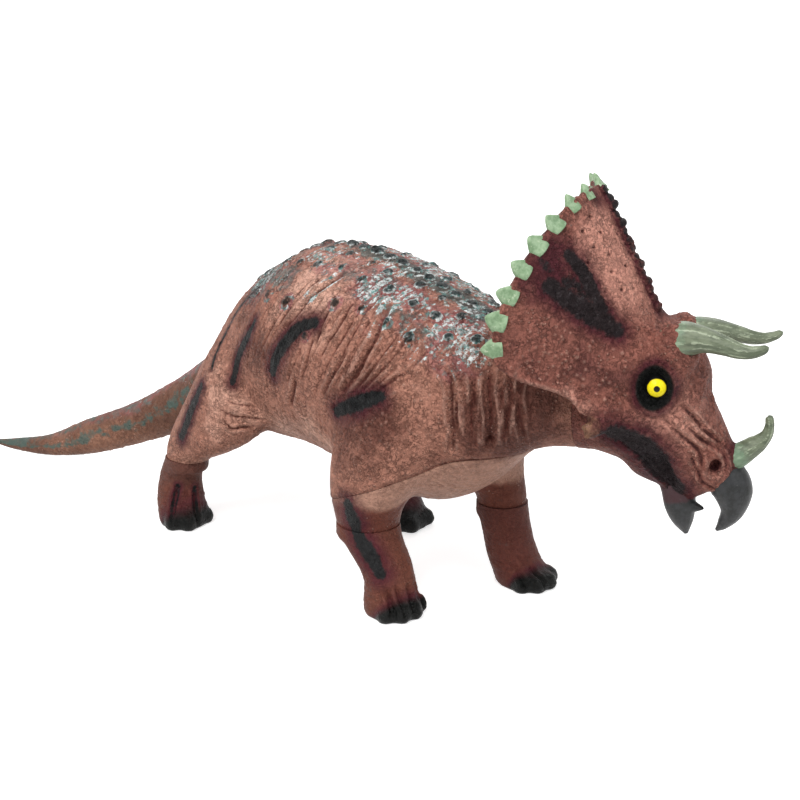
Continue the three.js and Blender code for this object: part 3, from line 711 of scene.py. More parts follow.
class Graph:
    """A node tree with short names for the nodes that the finishes use."""

    def __init__(self, tree: Tree) -> None:
        """Work on an emptied tree."""
        self.tree = tree
        self.tree.nodes.clear()

    def node(self, kind: str, settings: dict | None = None, **inputs: object) -> Node:
        """Add a node.

        Args:
            kind: Node type without its ShaderNode prefix.
            settings: Properties of the node.
            **inputs: Input sockets by name, with underscores for spaces.

        Returns:
            The node.
        """
        made = self.tree.nodes.new("ShaderNode" + kind if not kind.startswith("Node") else kind)
        for key, value in (settings or {}).items():
            setattr(made, key, value)
        for key, value in inputs.items():
            self.feed(made.inputs[key.replace("_", " ")], value)
        return made

    def feed(self, socket: Socket, value: object) -> None:
        """Link a socket or set its value.

        Args:
            socket: The input.
            value: An output or a plain value.
        """
        if isinstance(value, Socket):
            self.tree.links.new(value, socket)
        else:
            socket.default_value = value

    def math(self, kind: str, *values: Value) -> Socket:
        """Place one sum.

        Args:
            kind: The operation.
            *values: Its inputs.

        Returns:
            The result.
        """
        made = self.node("Math", {"operation": kind})
        for socket, value in zip(made.inputs, values):
            self.feed(socket, value)
        return made.outputs[0]

    def step(self, x: Value, low: float, high: float, a: float = 0.0, b: float = 1.0) -> Socket:
        """Map a value softly from one range to another.

        Args:
            x: The value.
            low: Start of its range.
            high: End of its range.
            a: Result at the start.
            b: Result at the end.

        Returns:
            The mapped value.
        """
        made = self.node("MapRange", {"interpolation_type": "SMOOTHSTEP"}, Value=x)
        for name, value in (("From Min", low), ("From Max", high), ("To Min", a), ("To Max", b)):
            made.inputs[name].default_value = value
        return made.outputs["Result"]

    def blend(self, share: Value, a: object, b: object, kind: str = "MIX") -> Socket:
        """Turn one colour into another.

        Args:
            share: Share of the second colour.
            a: The first colour.
            b: The second colour.
            kind: How they are mixed.

        Returns:
            The colour.
        """
        made = self.node("Mix", {"data_type": "RGBA", "blend_type": kind})
        self.feed(made.inputs[0], share)
        self.feed(made.inputs[6], a)
        self.feed(made.inputs[7], b)
        return made.outputs[2]

    def noise(self, where: Socket, scale: Value, detail: float = 2.0, rough: float = 0.5) -> Socket:
        """Return smooth noise from 0 to 1."""
        made = self.node("TexNoise", Vector=where, Scale=scale, Detail=detail, Roughness=rough)
        return made.outputs["Fac"]

    def value(self, name: Paint) -> Socket:
        """Return one of the skin's paint values."""
        return self.node("Attribute", {"attribute_name": name.value}).outputs["Fac"]

    def group(self, tree: Tree, **inputs: object) -> Node:
        """Place a node group with its values."""
        return self.node("Group", {"node_tree": tree}, **inputs)

    def finish(self, **inputs: object) -> None:
        """Place the material's surface with its values, and its output."""
        self.node("OutputMaterial", Surface=self.node("BsdfPrincipled", **inputs).outputs[0])


def new_material(name: str) -> tuple[Material, Graph]:
    """Start a material.

    Args:
        name: Its name.

    Returns:
        The material and its emptied graph.
    """
    made = bpy.data.materials.new(name)
    made.use_nodes = True
    return made, Graph(made.node_tree)


class Effects:
    """Node groups that several finishes share."""

    def __init__(self) -> None:
        """Build the groups once."""
        self.grain = self._grain()
        self.ragged = self._ragged()
        self.drybrush = self._drybrush()

    @staticmethod
    def _open(name: str, inputs: dict[str, tuple], outputs: tuple[str, ...]) -> tuple:
        """Start a group.

        Args:
            name: The group's name.
            inputs: Socket kind and default for each input.
            outputs: Names of the value outputs.

        Returns:
            The graph, its input node and its output node.
        """
        tree = bpy.data.node_groups.new(name, "ShaderNodeTree")
        for key, (kind, default) in inputs.items():
            socket = tree.interface.new_socket(key, in_out="INPUT", socket_type="NodeSocket" + kind)
            if default is not None:
                socket.default_value = default
        for key in outputs:
            tree.interface.new_socket(key, in_out="OUTPUT", socket_type="NodeSocketFloat")
        graph = Graph(tree)
        return graph, tree.nodes.new("NodeGroupInput"), tree.nodes.new("NodeGroupOutput")

    def _grain(self) -> Tree:
        """Build the leathery skin relief: fine wrinkles with small round grains in patches.

        Returns:
            The group.
        """
        g, given, out = self._open(
            "vinyl_skin_grain",
            {"Vector": ("Vector", None), "Pebbles": ("Float", 420.0), "Wrinkles": ("Float", 0.5),
             "Fine": ("Float", 0.3)},
            ("Height", "Speck", "Line"),
        )
        where = given.outputs["Vector"]
        warp = g.node("VectorMath", {"operation": "MULTIPLY_ADD"})
        wobble = g.node("TexNoise", Vector=where, Scale=240.0, Detail=1.0)
        for socket, value in zip(warp.inputs, (wobble.outputs["Color"], (0.003,) * 3, where)):
            g.feed(socket, value)
        bent = warp.outputs[0]
        pebble = g.node("TexVoronoi", Vector=where, Scale=given.outputs["Pebbles"])
        dome = g.step(pebble.outputs["Distance"], 0.44, 0.1)
        patch = g.step(g.noise(where, 75.0, 3.0), 0.46, 0.6)
        small = g.math("MULTIPLY", dome, patch)
        drift = g.step(g.noise(where, 130.0, 2.0), 0.35, 0.65, 0.3, 1.0)
        worm = g.math("ABSOLUTE", g.math("SUBTRACT", g.noise(bent, 300.0, 4.0, 0.68), 0.5))
        lines = g.math("MULTIPLY", g.step(worm, 0.055, 0.0), drift)
        fine = g.math("MULTIPLY", g.noise(where, 1300.0, 4.0, 0.65), given.outputs["Fine"])
        folds = g.math("MULTIPLY", g.noise(bent, 420.0, 4.0, 0.65), 1.2)
        height = g.math("MULTIPLY_ADD", small, 0.75, g.math("ADD", fine, folds))
        height = g.math("SUBTRACT", height, g.math("MULTIPLY", lines, given.outputs["Wrinkles"]))
        for name, value in (("Height", height), ("Speck", small), ("Line", lines)):
            g.feed(out.inputs[name], value)
        return g.tree

    def _ragged(self) -> Tree:
        """Build the edge of a sprayed or brushed mark: a soft mask broken up by noise.

        Returns:
            The group.
        """
        g, given, out = self._open(
            "ragged_edge",
            {"Mask": ("Float", 0.0), "Vector": ("Vector", None), "Scale": ("Float", 400.0),
             "Break": ("Float", 0.5)},
            ("Mask",),
        )
        noise = g.noise(given.outputs["Vector"], given.outputs["Scale"], 4.0, 0.62)
        lean = g.math("MULTIPLY", g.math("SUBTRACT", noise, 0.5), given.outputs["Break"])
        total = g.math("ADD", given.outputs["Mask"], g.math("MULTIPLY", lean, 2.0))
        g.feed(out.inputs["Mask"], g.step(total, 0.22, 0.78))
        return g.tree

    def _drybrush(self) -> Tree:
        """Build paint that catches only on raised skin, in flecks.

        Returns:
            The group.
        """
        g, given, out = self._open(
            "drybrushed_flecks",
            {"Strength": ("Float", 0.0), "Rise": ("Float", 0.5), "Vector": ("Vector", None),
             "Scale": ("Float", 500.0)},
            ("Mask",),
        )
        noise = g.noise(given.outputs["Vector"], given.outputs["Scale"], 5.0, 0.75)
        lift = g.math("MULTIPLY", g.math("SUBTRACT", given.outputs["Rise"], 0.5), 0.9)
        total = g.math("ADD", g.math("ADD", noise, lift), given.outputs["Strength"])
        g.feed(out.inputs["Mask"], g.step(total, 0.97, 1.1))
        return g.tree


@dataclass(frozen=True)
class SkinPaint:
    """The painted finish of a vinyl casting."""

    name: str
    pale: str
    middle: str
    deep: str
    # Painted shade, laid in the hollows and wrinkle lines.
    crease: str = "#5a3029"
    # Painted highlight, laid on the high spots and grains.
    raised: str = "#cfa393"
    maroon: str = "#4c1f27"
    ink: str = "#13191a"
    # Colour of the streaks in the ink: partly brush streaks, partly painted glints.
    ink_streak_glint: str = "#5c6766"
    frost: str = "#dfe6e6"
    wash: str = "#56625f"
    salmon: str = "#a5666a"
    glint: str = "#6f9a97"
    limb: str = "#6b3d31"
    claw: str = "#111211"
    roughness: float = 0.5
    pebbles: float = 420.0
    wrinkles: float = 0.5
    bump: float = 1.0
    depth: float = 1.9

    def build(self, effects: Effects) -> Material:
        """Build the material.

        Args:
            effects: The shared node groups.

        Returns:
            The material.
        """
        made, g = new_material(self.name)
        where = g.node("TexCoord").outputs["Object"]
        rise = g.value(Paint.RISE)
        grain = g.group(effects.grain, Vector=where, Pebbles=self.pebbles, Wrinkles=self.wrinkles)
        drift = g.step(g.noise(where, 30.0, 4.0, 0.62), 0.3, 0.7, -0.16, 0.16)
        level = g.math("ADD", g.value(Paint.TONE), drift)
        tone = g.blend(g.step(level, 0.1, 0.5), tint(self.deep), tint(self.middle))
        tone = g.blend(g.step(level, 0.5, 0.95), tone, tint(self.pale))
        limb = g.group(effects.ragged, Mask=g.value(Paint.LIMB), Vector=where, Scale=70.0, Break=0.3)
        tone = g.blend(limb.outputs["Mask"], tone, tint(self.limb))
        tone = self.relief_shade_and_highlight(g, tone, rise, grain, where)
        tone = self.brush(g, effects, tone, rise, where)
        patchy = g.step(g.noise(where, 160.0, 4.0, 0.65), 0.3, 0.7, 0.75, 1.15)
        blush = g.math("MINIMUM", g.math("MULTIPLY", g.value(Paint.BLUSH), patchy), 1.0)
        tone = g.blend(g.math("MULTIPLY", blush, 0.95), tone, tint(self.maroon))
        ink = g.group(effects.ragged, Mask=g.value(Paint.INK), Vector=where, Scale=380.0, Break=0.6)
        # Streaks in the ink towards a paler colour: partly brush streaks, partly painted glints where
        # the ink's sheen catches light.
        ink_streak_glint_share = g.step(g.noise(self.hairs(g, where), 300.0, 6.0, 0.8), 0.52, 0.74, 0.0, 0.5)
        dark = g.blend(ink_streak_glint_share, tint(self.ink), tint(self.ink_streak_glint))
        tone = g.blend(g.math("MULTIPLY", ink.outputs["Mask"], 0.95), tone, dark)
        tone = g.blend(g.value(Paint.CLAW), tone, tint(self.claw))
        shine = g.math("MULTIPLY", ink.outputs["Mask"], 0.5)
        gloss = g.math("MAXIMUM", shine, g.value(Paint.CLAW))
        rough = g.step(gloss, 0.0, 1.0, self.roughness, self.roughness - 0.2)
        height = grain.outputs["Height"]
        bump = g.node("Bump", Strength=self.bump, Distance=self.depth * MM, Height=height)
        g.finish(
            Base_Color=tone, Roughness=rough, Normal=bump.outputs["Normal"],
            Specular_IOR_Level=0.13,
        )
        return made

    @staticmethod
    def hairs(g: Graph, where: Socket) -> Socket:
        """Return the place squeezed along the brush strokes, for hair-like streaks."""
        mapped = g.node("Mapping", Vector=where, Scale=(3.6, 0.7, 0.8), Rotation=(0.2, 0.5, 0.4))
        return mapped.outputs["Vector"]

    def relief_shade_and_highlight(self, g: Graph, tone: Socket, rise: Socket, grain: Node, where: Socket) -> Socket:
        """Return the colour with painted shade in the hollows and wrinkle lines and painted highlights
        on the high spots and grains.

        Args:
            g: The material's tree.
            tone: The colour so far.
            rise: Height of the sculpted relief.
            grain: The skin grain's group.
            where: Place on the object.

        Returns:
            The weathered colour.
        """
        # Painted shade: the crease colour in the hollows and wrinkle lines. Painted highlight: the
        # raised colour on the high spots and grains.
        tone = g.blend(g.step(rise, 0.5, 0.08, 0.0, 0.85), tone, tint(self.crease))
        tone = g.blend(g.step(rise, 0.53, 0.95, 0.0, 0.45), tone, tint(self.raised))
        tone = g.blend(g.step(grain.outputs["Speck"], 0.3, 1.0, 0.0, 0.4), tone, tint(self.raised))
        tone = g.blend(g.math("MULTIPLY", grain.outputs["Line"], 0.36), tone, tint(self.crease))
        value = g.step(g.noise(where, 480.0, 6.0, 0.8), 0.3, 0.7, 0.76, 1.18)
        return g.node("HueSaturation", Color=tone, Value=value).outputs["Color"]

    def brush(self, g: Graph, effects: Effects, tone: Socket, rise: Socket, where: Socket) -> Socket:
        """Return the colour with the brushed paint of the spine over it.

        Args:
            g: The material's tree.
            effects: The shared node groups.
            tone: The colour so far.
            rise: Height of the sculpted relief.
            where: Place on the object.

        Returns:
            The brushed colour.
        """
        frost, teal = g.value(Paint.FROST), g.value(Paint.TEAL)
        warm = g.step(g.noise(where, 48.0, 3.0), 0.42, 0.58, 0.1, 0.65)
        tone = g.blend(g.math("MULTIPLY", g.step(frost, 0.05, 0.7), warm), tone, tint(self.salmon))
        worn = g.group(effects.ragged, Mask=teal, Vector=where, Scale=190.0, Break=0.95)
        tone = g.blend(g.math("MULTIPLY", worn.outputs["Mask"], 0.8), tone, tint(self.wash))
        spots = g.step(g.noise(where, 210.0, 4.0, 0.7), 0.55, 0.62)
        hint = g.math("MULTIPLY", spots, g.step(frost, 0.2, 0.7))
        tone = g.blend(g.math("MULTIPLY", hint, 0.7), tone, tint(self.glint))
        strength = g.step(frost, 0.0, 0.9, 0.1, 0.54)
        flecks = g.group(effects.drybrush, Strength=strength, Rise=rise, Vector=where, Scale=800.0)
        cool = g.step(g.noise(where, 330.0, 3.0, 0.6), 0.46, 0.6)
        pale = g.blend(cool, tint(self.frost), tint(self.glint))
        seen = g.math("MULTIPLY", flecks.outputs["Mask"], g.step(frost, 0.04, 0.2))
        return g.blend(seen, tone, pale)


@dataclass(frozen=True)
class HornPaint:
    """Painted horn, beak or scallop: an even coat with grain, painted shade in the hollows and worn
    high spots.
    """

    name: str
    light: str
    deep: str
    high: str
    roughness: float = 0.42
    stretch: Point = (1.0, 1.0, 1.0)
    scale: float = 240.0
    bump: float = 0.4
    foot: str = "#76957a"
    wear: float = 0.44

    def build(self, effects: Effects) -> Material:
        """Build the material.

        Args:
            effects: The shared node groups.

        Returns:
            The material.
        """
        made, g = new_material(self.name)
        where = g.node("TexCoord").outputs["Object"]
        flow = g.node("Mapping", Vector=where, Scale=self.stretch).outputs["Vector"]
        rise = g.value(Paint.RISE)
        streak = g.step(g.noise(flow, self.scale, 4.0, 0.65), 0.35, 0.65)
        tone = g.blend(streak, tint(self.light), tint(self.deep))
        # Painted shade: darker in the hollows of the relief.
        tone = g.blend(g.step(rise, 0.5, 0.1, 0.0, 0.8), tone, tint(self.deep))
        worn = g.group(
            effects.drybrush, Strength=self.wear, Rise=rise, Vector=flow, Scale=self.scale * 1.6)
        tone = g.blend(g.math("MULTIPLY", worn.outputs["Mask"], 0.65), tone, tint(self.high))
        base = g.group(effects.ragged, Mask=g.value(Paint.TEAL), Vector=where, Scale=300.0, Break=0.5)
        tone = g.blend(g.math("MULTIPLY", base.outputs["Mask"], 0.55), tone, tint(self.foot))
        height = g.noise(flow, self.scale * 2.5, 4.0, 0.6)
        bump = g.node("Bump", Strength=self.bump, Distance=0.5 * MM, Height=height)
        g.finish(
            Base_Color=tone, Roughness=self.roughness, Normal=bump.outputs["Normal"],
            Specular_IOR_Level=0.3,
        )
        return made


# The head's own frame.

NECK_ROOT = np.array([160.877, 19.843, 122.94])
AHEAD = np.array([0.847678, 0.530511, 0.0])
LEFTWARD = np.array([-0.530511, 0.847678, 0.0])
UPWARD = np.array([0.0, 0.0, 1.0])
HEAD_SPAN = np.array([100.0, 80.0, 120.0])


def in_head(u: float, s: float, z: float) -> Array:
    """Return the place that lies u ahead of, s left of and z above the neck's root."""
    return NECK_ROOT + u * AHEAD + s * LEFTWARD + z * UPWARD


def head_share(share: Point, flank: int = 1) -> Array:
    """Return the place at shares of the head's span, on its left or, with -1, on its right."""
    return in_head(*(np.array(share) * HEAD_SPAN * (1, flank, 1)))


def across_head(path: Path) -> Path:
    """Return a path mirrored to the other side of the head."""
    p = np.asarray(path, float)
    return tuple(map(tuple, p - 2 * ((p - NECK_ROOT) @ LEFTWARD)[:, None] * LEFTWARD))


SPINE = np.array([
    [-111.3, -15.2], [-93.4, -12.2], [-69.3, -10.2], [-41.3, -9.2], [-9.4, -9.2], [28.7, -9.2],
    [63.7, -9.2], [96.8, -8.2], [122.8, -3.2], [143.8, 6.8], [160.9, 19.8], [177.8, 30.4],
])


def across_torso(path: Path) -> Path:
    """Return a path mirrored to the other flank, across the bent line of the spine.

    Args:
        path: Places on one flank.

    Returns:
        The same places on the other flank.
    """
    mirrored = []
    for x, y, z in path:
        best = (1e9, None)
        for a, b in zip(SPINE[:-1], SPINE[1:]):
            run = b - a
            t = float(np.clip(((x, y) - a) @ run / (run @ run), 0.0, 1.0))
            foot = a + t * run
            far = math.hypot(x - foot[0], y - foot[1])
            if far < best[0]:
                best = (far, (foot, run / np.linalg.norm(run)))
        foot, run = best[1]
        side = np.array([-run[1], run[0]])
        off = np.array([x, y]) - foot
        off = off - 2 * (off @ side) * side
        mirrored.append((foot[0] + off[0], foot[1] + off[1], z))
    return tuple(mirrored)


# Lofted bars.


def ring_grid(
    centres: Array, sides_dir: Array, over_dir: Array, half: Array,
    deep: Array, sides: int,
) -> Array:
    """Return the points of oval rings.

    Args:
        centres: Centre of each ring.
        sides_dir: Unit vector of each ring's first axis.
        over_dir: Unit vector of each ring's second axis.
        half: Half width along the first axis.
        deep: Half width along the second axis.
        sides: Points in a ring.

    Returns:
        An array of rings by points by three.
    """
    angle = np.arange(sides) * 2 * np.pi / sides
    return (
        centres[:, None, :]
        + np.cos(angle)[None, :, None] * (half[:, None] * sides_dir)[:, None, :]
        + np.sin(angle)[None, :, None] * (deep[:, None] * over_dir)[:, None, :]
    )


def grid_quads(rings: int, sides: int, turned: bool = False) -> Array:
    """Return the four-sided faces between neighbouring rings.

    Args:
        rings: How many rings there are.
        sides: Points in a ring.
        turned: Whether the faces look the other way.

    Returns:
        Four point numbers for each face.
    """
    i, k = np.meshgrid(np.arange(rings - 1), np.arange(sides), indexing="ij")
    a, b = i * sides + k, i * sides + (k + 1) % sides
    quads = np.stack([a, a + sides, b + sides, b], -1).reshape(-1, 4)
    return quads[:, ::-1] if turned else quads


def grid_skin(name: str, grid: Array) -> Skin:
    """Return a skin on rings of points, open at both ends, facing outwards.

    Args:
        name: Name of the skin.
        grid: Rings by points by three.

    Returns:
        The skin.
    """
    rings, sides, _ = grid.shape
    points = grid.reshape(-1, 3)
    skin = Skin(name, points, grid_quads(rings, sides))
    outward = (skin.normals * (points - np.repeat(grid.mean(1), sides, axis=0))).sum()
    return skin if outward > 0 else Skin(name, points, grid_quads(rings, sides, True))


@dataclass(frozen=True)
class HeadBar:
    """A tapering bar in the head's frame.

    Its rows hold offsets ahead, to the side and above in shares of its length, and the half
    width across and in the upright plane in shares of its width.
    """

    origin: Point
    rows: Rows
    length: float
    width: float
    flank: int = 1

    def grid(self, steps: int = 12, sides: int = 40, share: float = 1.0, until: int = 99) -> Array:
        """Return the bar's rings.

        Args:
            steps: Rings for each row.
            sides: Points in a ring.
            share: Share of the width.
            until: How many rows are used.

        Returns:
            An array of rings by points by three.
        """
        fine = resample(self.rows[:until], steps)
        centres = head_share(self.origin, self.flank) + self.length * (
            fine[:, :1] * AHEAD + self.flank * fine[:, 1:2] * LEFTWARD + fine[:, 2:3] * UPWARD
        )
        along = unit(np.gradient(centres, axis=0))
        side = unit(LEFTWARD - (along @ LEFTWARD)[:, None] * along)
        over = np.cross(along, side)
        size = share * self.width
        return ring_grid(centres, side, over, fine[:, 3] * size, fine[:, 4] * size, sides)


def to_object(name: str, mesh: Mesh, material: Material) -> Object:
    """Return a smooth-shaded object of a mesh in one finish.

    Args:
        name: Name of the object.
        mesh: Its mesh.
        material: Its finish.

    Returns:
        The object, linked to the scene.
    """
    mesh.materials.clear()
    mesh.materials.append(material)
    mesh.polygons.foreach_set("use_smooth", np.ones(len(mesh.polygons), bool))
    made = bpy.data.objects.new(name, mesh)
    bpy.context.scene.collection.objects.link(made)
    return made


def closed(skin: Skin, seams: tuple[Seam, ...] = ()) -> Mesh:
    """Return a skin's mesh with its seams cut and every opening closed.

    Args:
        skin: The skin.
        seams: Where it is cut off.

    Returns:
        The closed mesh.
    """
    mesh = skin.mesh()
    shape = bmesh.new()
    shape.from_mesh(mesh)
    for seam in seams:
        seam.cut(shape)
    rim = [e for e in shape.edges if e.is_boundary]
    if rim:
        bmesh.ops.holes_fill(shape, edges=rim, sides=0)
    shape.to_mesh(mesh)
    shape.free()
    mesh.name = skin.name
    return mesh


def fill_with(skins: list[Skin]) -> Shape:
    """Return closed bars as one shape in metres.

    Args:
        skins: The bars.

    Returns:
        The shape.
    """
    shape = bmesh.new()
    for skin in skins:
        mesh = closed(skin)
        shape.from_mesh(mesh)
        bpy.data.meshes.remove(mesh)
    return shape


# Sub-assemblies.


class Finish(str, Enum):
    """The finishes of the figure."""

    BODY = "terracotta_vinyl"
    CHEST = "tan_vinyl"
    HEAD = "red_brown_vinyl"
    TAIL = "mottled_vinyl"
    LEG = "brown_vinyl"
    HORN = "sage_horn"
    SCALLOP = "mint_scallop"
    BEAK = "charcoal_beak"
    EYE = "painted_eye"


Finishes = dict[Finish, Material]

NECK_SEAM = (tuple(NECK_ROOT), tuple(AHEAD))
NECK_RADIUS = 28.0
TAIL_RADIUS = 20.0
TAIL_SEAM = ((-111.283, -15.197, 68.94), (-0.800298, -0.31686, -0.509041))
LEG_SEAMS = {
    Body.RIGHT_FORE: ((74.357, -54.197, 44.0), 17.5),
    Body.LEFT_FORE: ((96.197, 24.763, 44.0), 14.5),
    Body.RIGHT_HIND: ((-79.363, -66.677, 42.0), 13.0),
    Body.LEFT_HIND: ((-15.243, 34.843, 42.0), 13.0),
}


@dataclass
class Torso:
    """The body and chest castings, sculpted as one skin and parted along the chest seam."""

    cell: float = 4.0
    rounds: int = 5
    levels: int = 2
    chest_point: Point = (56.9, -9.2, 52.0)
    chest_slope: Point = (-0.368, 0.0, 0.930)
    stud_pitch: float = 11.0
    crest: Path = (
        (-93, -11, 107), (-82, -11, 117), (-70, -10, 129), (-57, -10, 142), (-44, -9, 154),
        (-30, -9, 163), (-15, -9, 171), (0, -9, 176), (15, -9, 178), (29, -9, 179),
        (43, -9, 178), (57, -9, 175), (71, -9, 171), (84, -9, 167), (97, -8, 163), (110, -6, 160),
        (122, -3, 157), (134, 3, 154),
    )
    flank_studs: Path = (
        (-50, -27, 146), (-38, -32, 153), (-24, -30, 163), (-8, -33, 166), (8, -34, 168),
        (26, -32, 171), (45, -33, 167), (64, -31, 166), (82, -29, 160), (98, -27, 156),
        (-30, -46, 148), (-14, -50, 150), (6, -53, 151), (24, -50, 156), (42, -49, 157),
        (60, -46, 158), (78, -44, 153), (95, -42, 148), (112, -31, 150), (124, -22, 149),
        (33, -61, 140), (52, -22, 172), (74, -18, 168), (90, -17, 163), (108, -19, 157),
        (36, -20, 175), (18, -20, 174), (0, -20, 172),
    )

    # Tone patches by place, reach and amount: the paint's own uneven tone, with painted light high on
    # the flank and shoulder, and painted shade on the lower shoulder and at the neck under the frill.
    tones_and_painted_light: tuple[tuple[Point, float, float], ...] = (
        ((20, -45, 160), 26, 0.35), ((95, -45, 145), 24, 0.15), ((-38, -55, 128), 30, -0.15),
        ((0, -60, 75), 26, 0.3), ((40, -66, 78), 24, 0.3), ((-45, -62, 85), 20, 0.2),
        ((85, -66, 100), 24, -0.3), ((140, -25, 115), 24, -0.5), ((0, -68, 118), 22, -0.25),
        ((60, -66, 90), 22, -0.1), ((160, -15, 122), 18, -0.5), ((88, -62, 122), 26, -0.22),
    )

    def build(self, finishes: Finishes) -> list[Object]:
        """Make both castings.

        Args:
            finishes: The materials.

        Returns:
            The body and the chest.
        """
        plugs = [
            Plug(*NECK_SEAM, NECK_RADIUS), Plug(*TAIL_SEAM, TAIL_RADIUS),
            *(Plug(centre, (0, 0, 1), radius) for centre, radius in LEG_SEAMS.values()),
        ]
        skin = Skin.wrap(
            "body_skin", ("body_casting", "chest_casting"), tuple(plugs), self.cell, self.rounds,
            self.levels,
        )
        LOG.info("torso skin has %d points", len(skin.points))
        self.sculpt(skin)
        self.paint(skin)
        return self.part(skin, finishes)

    def folds(self) -> list[Groove]:
        """List the deep folds of the right flank, from the neck to the haunch.

        Returns:
            The folds.
        """
        return [
            Groove(((118, -43, 140), (124, -42, 136), (128, -43, 128), (130, -45, 117),
                    (131, -44, 109), (129, -44, 98)), 1.9, 2.2, 1.0),
            Groove(((124, -39, 142), (129, -40, 135), (132, -42, 126), (132, -43, 117),
                    (133, -42, 109), (133, -41, 96)), 1.2, 1.2, 0.6),
            Groove(((133, -34, 143), (138, -37, 130), (138, -39, 118), (139, -38, 102)), 1.6, 1.6, 0.8),
            Groove(((141, -29, 144), (144, -32, 130), (147, -33, 118), (146, -32, 100)), 2.1, 2.5, 1.0),
            Groove(((146, -32, 106), (146, -32, 101)), 2.6, 3.2, 0.6),
            Groove(((150, -24, 140), (153, -25, 129), (153, -27, 118), (151, -28, 104)), 1.4, 1.5, 0.7),
            Groove(((155, -18, 140), (155, -23, 130), (157, -23, 122), (158, -22, 114),
                    (156, -16, 102)), 1.6, 1.6, 0.8),
            *self.fan(((112, -46, 142), (121, -44, 131), (125, -46, 115), (122, -47, 99)),
                      ((158, -17, 141), (159, -20, 128), (161, -18, 118), (160, -12, 104)), 9),
            Groove(((15, -64, 143), (20, -59, 151), (24, -51, 161), (29, -43, 168),
                    (30, -37, 171)), 1.8, 2.2, 1.3),
            Groove(((30, -70, 117), (26, -69, 107), (22, -67, 100)), 1.8, 2.2, 1.0),
            Groove(((36, -70, 119), (39, -69, 130), (39, -65, 141)), 1.2, 1.2, 0.6),
            Groove(((48, -68, 131), (51, -63, 143), (53, -59, 149), (53, -48, 161)), 1.2, 1.2, 0.6),
            Groove(((67, -67, 118), (75, -64, 130), (77, -60, 140), (78, -52, 151),
                    (73, -39, 163)), 1.9, 2.2, 1.3),
            Groove(((54, -69, 115), (61, -67, 129), (65, -63, 139)), 1.3, 1.5, 0.8),
            *self.fan(((36, -70, 119), (39, -69, 130), (39, -65, 141), (36, -52, 158)),
                      ((48, -68, 131), (51, -63, 143), (53, -59, 149), (53, -48, 161)), 2),
            *self.fan(((50, -68, 126), (55, -64, 141), (57, -58, 149), (58, -46, 161)),
                      ((67, -67, 118), (76, -62, 135), (78, -52, 151), (73, -39, 163)), 4),
            *self.fan(((70, -67, 117), (80, -63, 131), (84, -56, 143), (86, -42, 155)),
                      ((91, -62, 122), (100, -57, 131), (108, -51, 137), (112, -43, 145)), 4),
            *self.fan(((-10, -68, 120), (-4, -66, 132), (4, -58, 148), (12, -45, 163)),
                      ((14, -66, 138), (19, -60, 149), (24, -50, 162), (29, -38, 170)), 3),
            Groove(((91, -61, 123), (100, -57, 131), (111, -50, 136), (118, -43, 140)), 3.0, 0.9, 0.5),
            Groove(((-36, -70, 76), (-31, -69, 72), (-26, -66, 73), (-21, -60, 74)), 1.0, 1.2, 0.6),
            Groove(((-40, -70, 82), (-31, -68, 80), (-24, -63, 80), (-16, -56, 79)), 0.9, 0.9, 0.5),
            Groove(((-38, -70, 89), (-29, -68, 87), (-20, -62, 87)), 0.9, 0.7, 0.4),
        ]

    @staticmethod
    def fan(first: Path, last: Path, count: int) -> list[Groove]:
        """Spread fine creases between two lines of as many points.

        Args:
            first: The line at one side.
            last: The line at the other side.
            count: How many creases.

        Returns:
            The creases.
        """
        a, b = np.asarray(first, float), np.asarray(last, float)
        shares = (np.arange(count) + 0.5) / count
        return [
            Groove(tuple(map(tuple, a + (b - a) * t)), 0.9, 0.65 + 0.25 * math.sin(7 * t), 0.35)
            for t in shares
        ]

    def seam_height(self, x: Array | float) -> Array | float:
        """Return the height of the chest seam above its flat slope."""
        return 3.2 + 6.6 * bell((x - 124.0) / 19.0)

    def sculpt(self, skin: Skin) -> None:
        """Carve the folds, wrinkles, grains, scutes and the chest seam.

        Args:
            skin: The wrapped skin.
        """
        for fold in self.folds():
            for path in (fold.path, across_torso(fold.path)):
                fold.carve(skin, path)
        fields = (
            Wrinkles((30, -9, 130), (85, 90, 70), (1, 0, -0.2), 5.2, 46, 1.1, 3),
            Wrinkles((55, -9, 125), (60, 90, 60), (1, 0, -0.35), 3.4, 30, 0.8, 11),
            Wrinkles((40, -9, 145), (70, 90, 40), (1, 0.1, -0.15), 2.6, 34, 0.45, 17, 0.12),
            Wrinkles((100, -9, 100), (50, 90, 40), (0.4, 0, 0.9), 3.2, 14, 0.6, 27, 0.1),
            Wrinkles((142, 2, 122), (30, 60, 40), (0.9, 0.42, -0.05), 4.4, 36, 0.9, 21),
            Wrinkles((-40, -9, 95), (60, 90, 60), (0.6, 0, 0.8), 4.0, 30, 0.45, 31, 0.07),
            Wrinkles((-20, -9, 110), (50, 90, 40), (0.2, 0, 0.98), 2.6, 16, 0.35, 37, 0.1),
            Wrinkles((-30, -9, 75), (30, 80, 22), (0.35, 0, 0.94), 4.4, 30, 0.7, 41),
        )
        for field_ in fields:
            field_.carve(skin)
        Pebbling((88, -9, 125), (46, 90, 58), 3.8, 1.0, 0.55, 7).carve(skin)
        Pebbling((-30, -9, 120), (70, 90, 60), 3.6, 0.6, 0.4, 8).carve(skin)
        Pebbling((60, -9, 165), (90, 40, 26), 3.2, 0.7, 0.5, 9).carve(skin)
        p = skin.points
        slope = np.array(self.chest_slope)
        off = (p - self.chest_point) @ slope - self.seam_height(p[:, 0]) * slope[2]
        strength = ramp(42, 52, p[:, 0]) * fall(136, 150, p[:, 0])
        deeper = 0.35 + 0.75 * ramp(96, 122, p[:, 0])
        lip = 0.3 * bell((off - 2.2) / 1.3)
        skin.push(strength * (-deeper * bell(off / 0.9) + lip))
        line = resample(self.crest, 8)
        marks = marks_along(line)
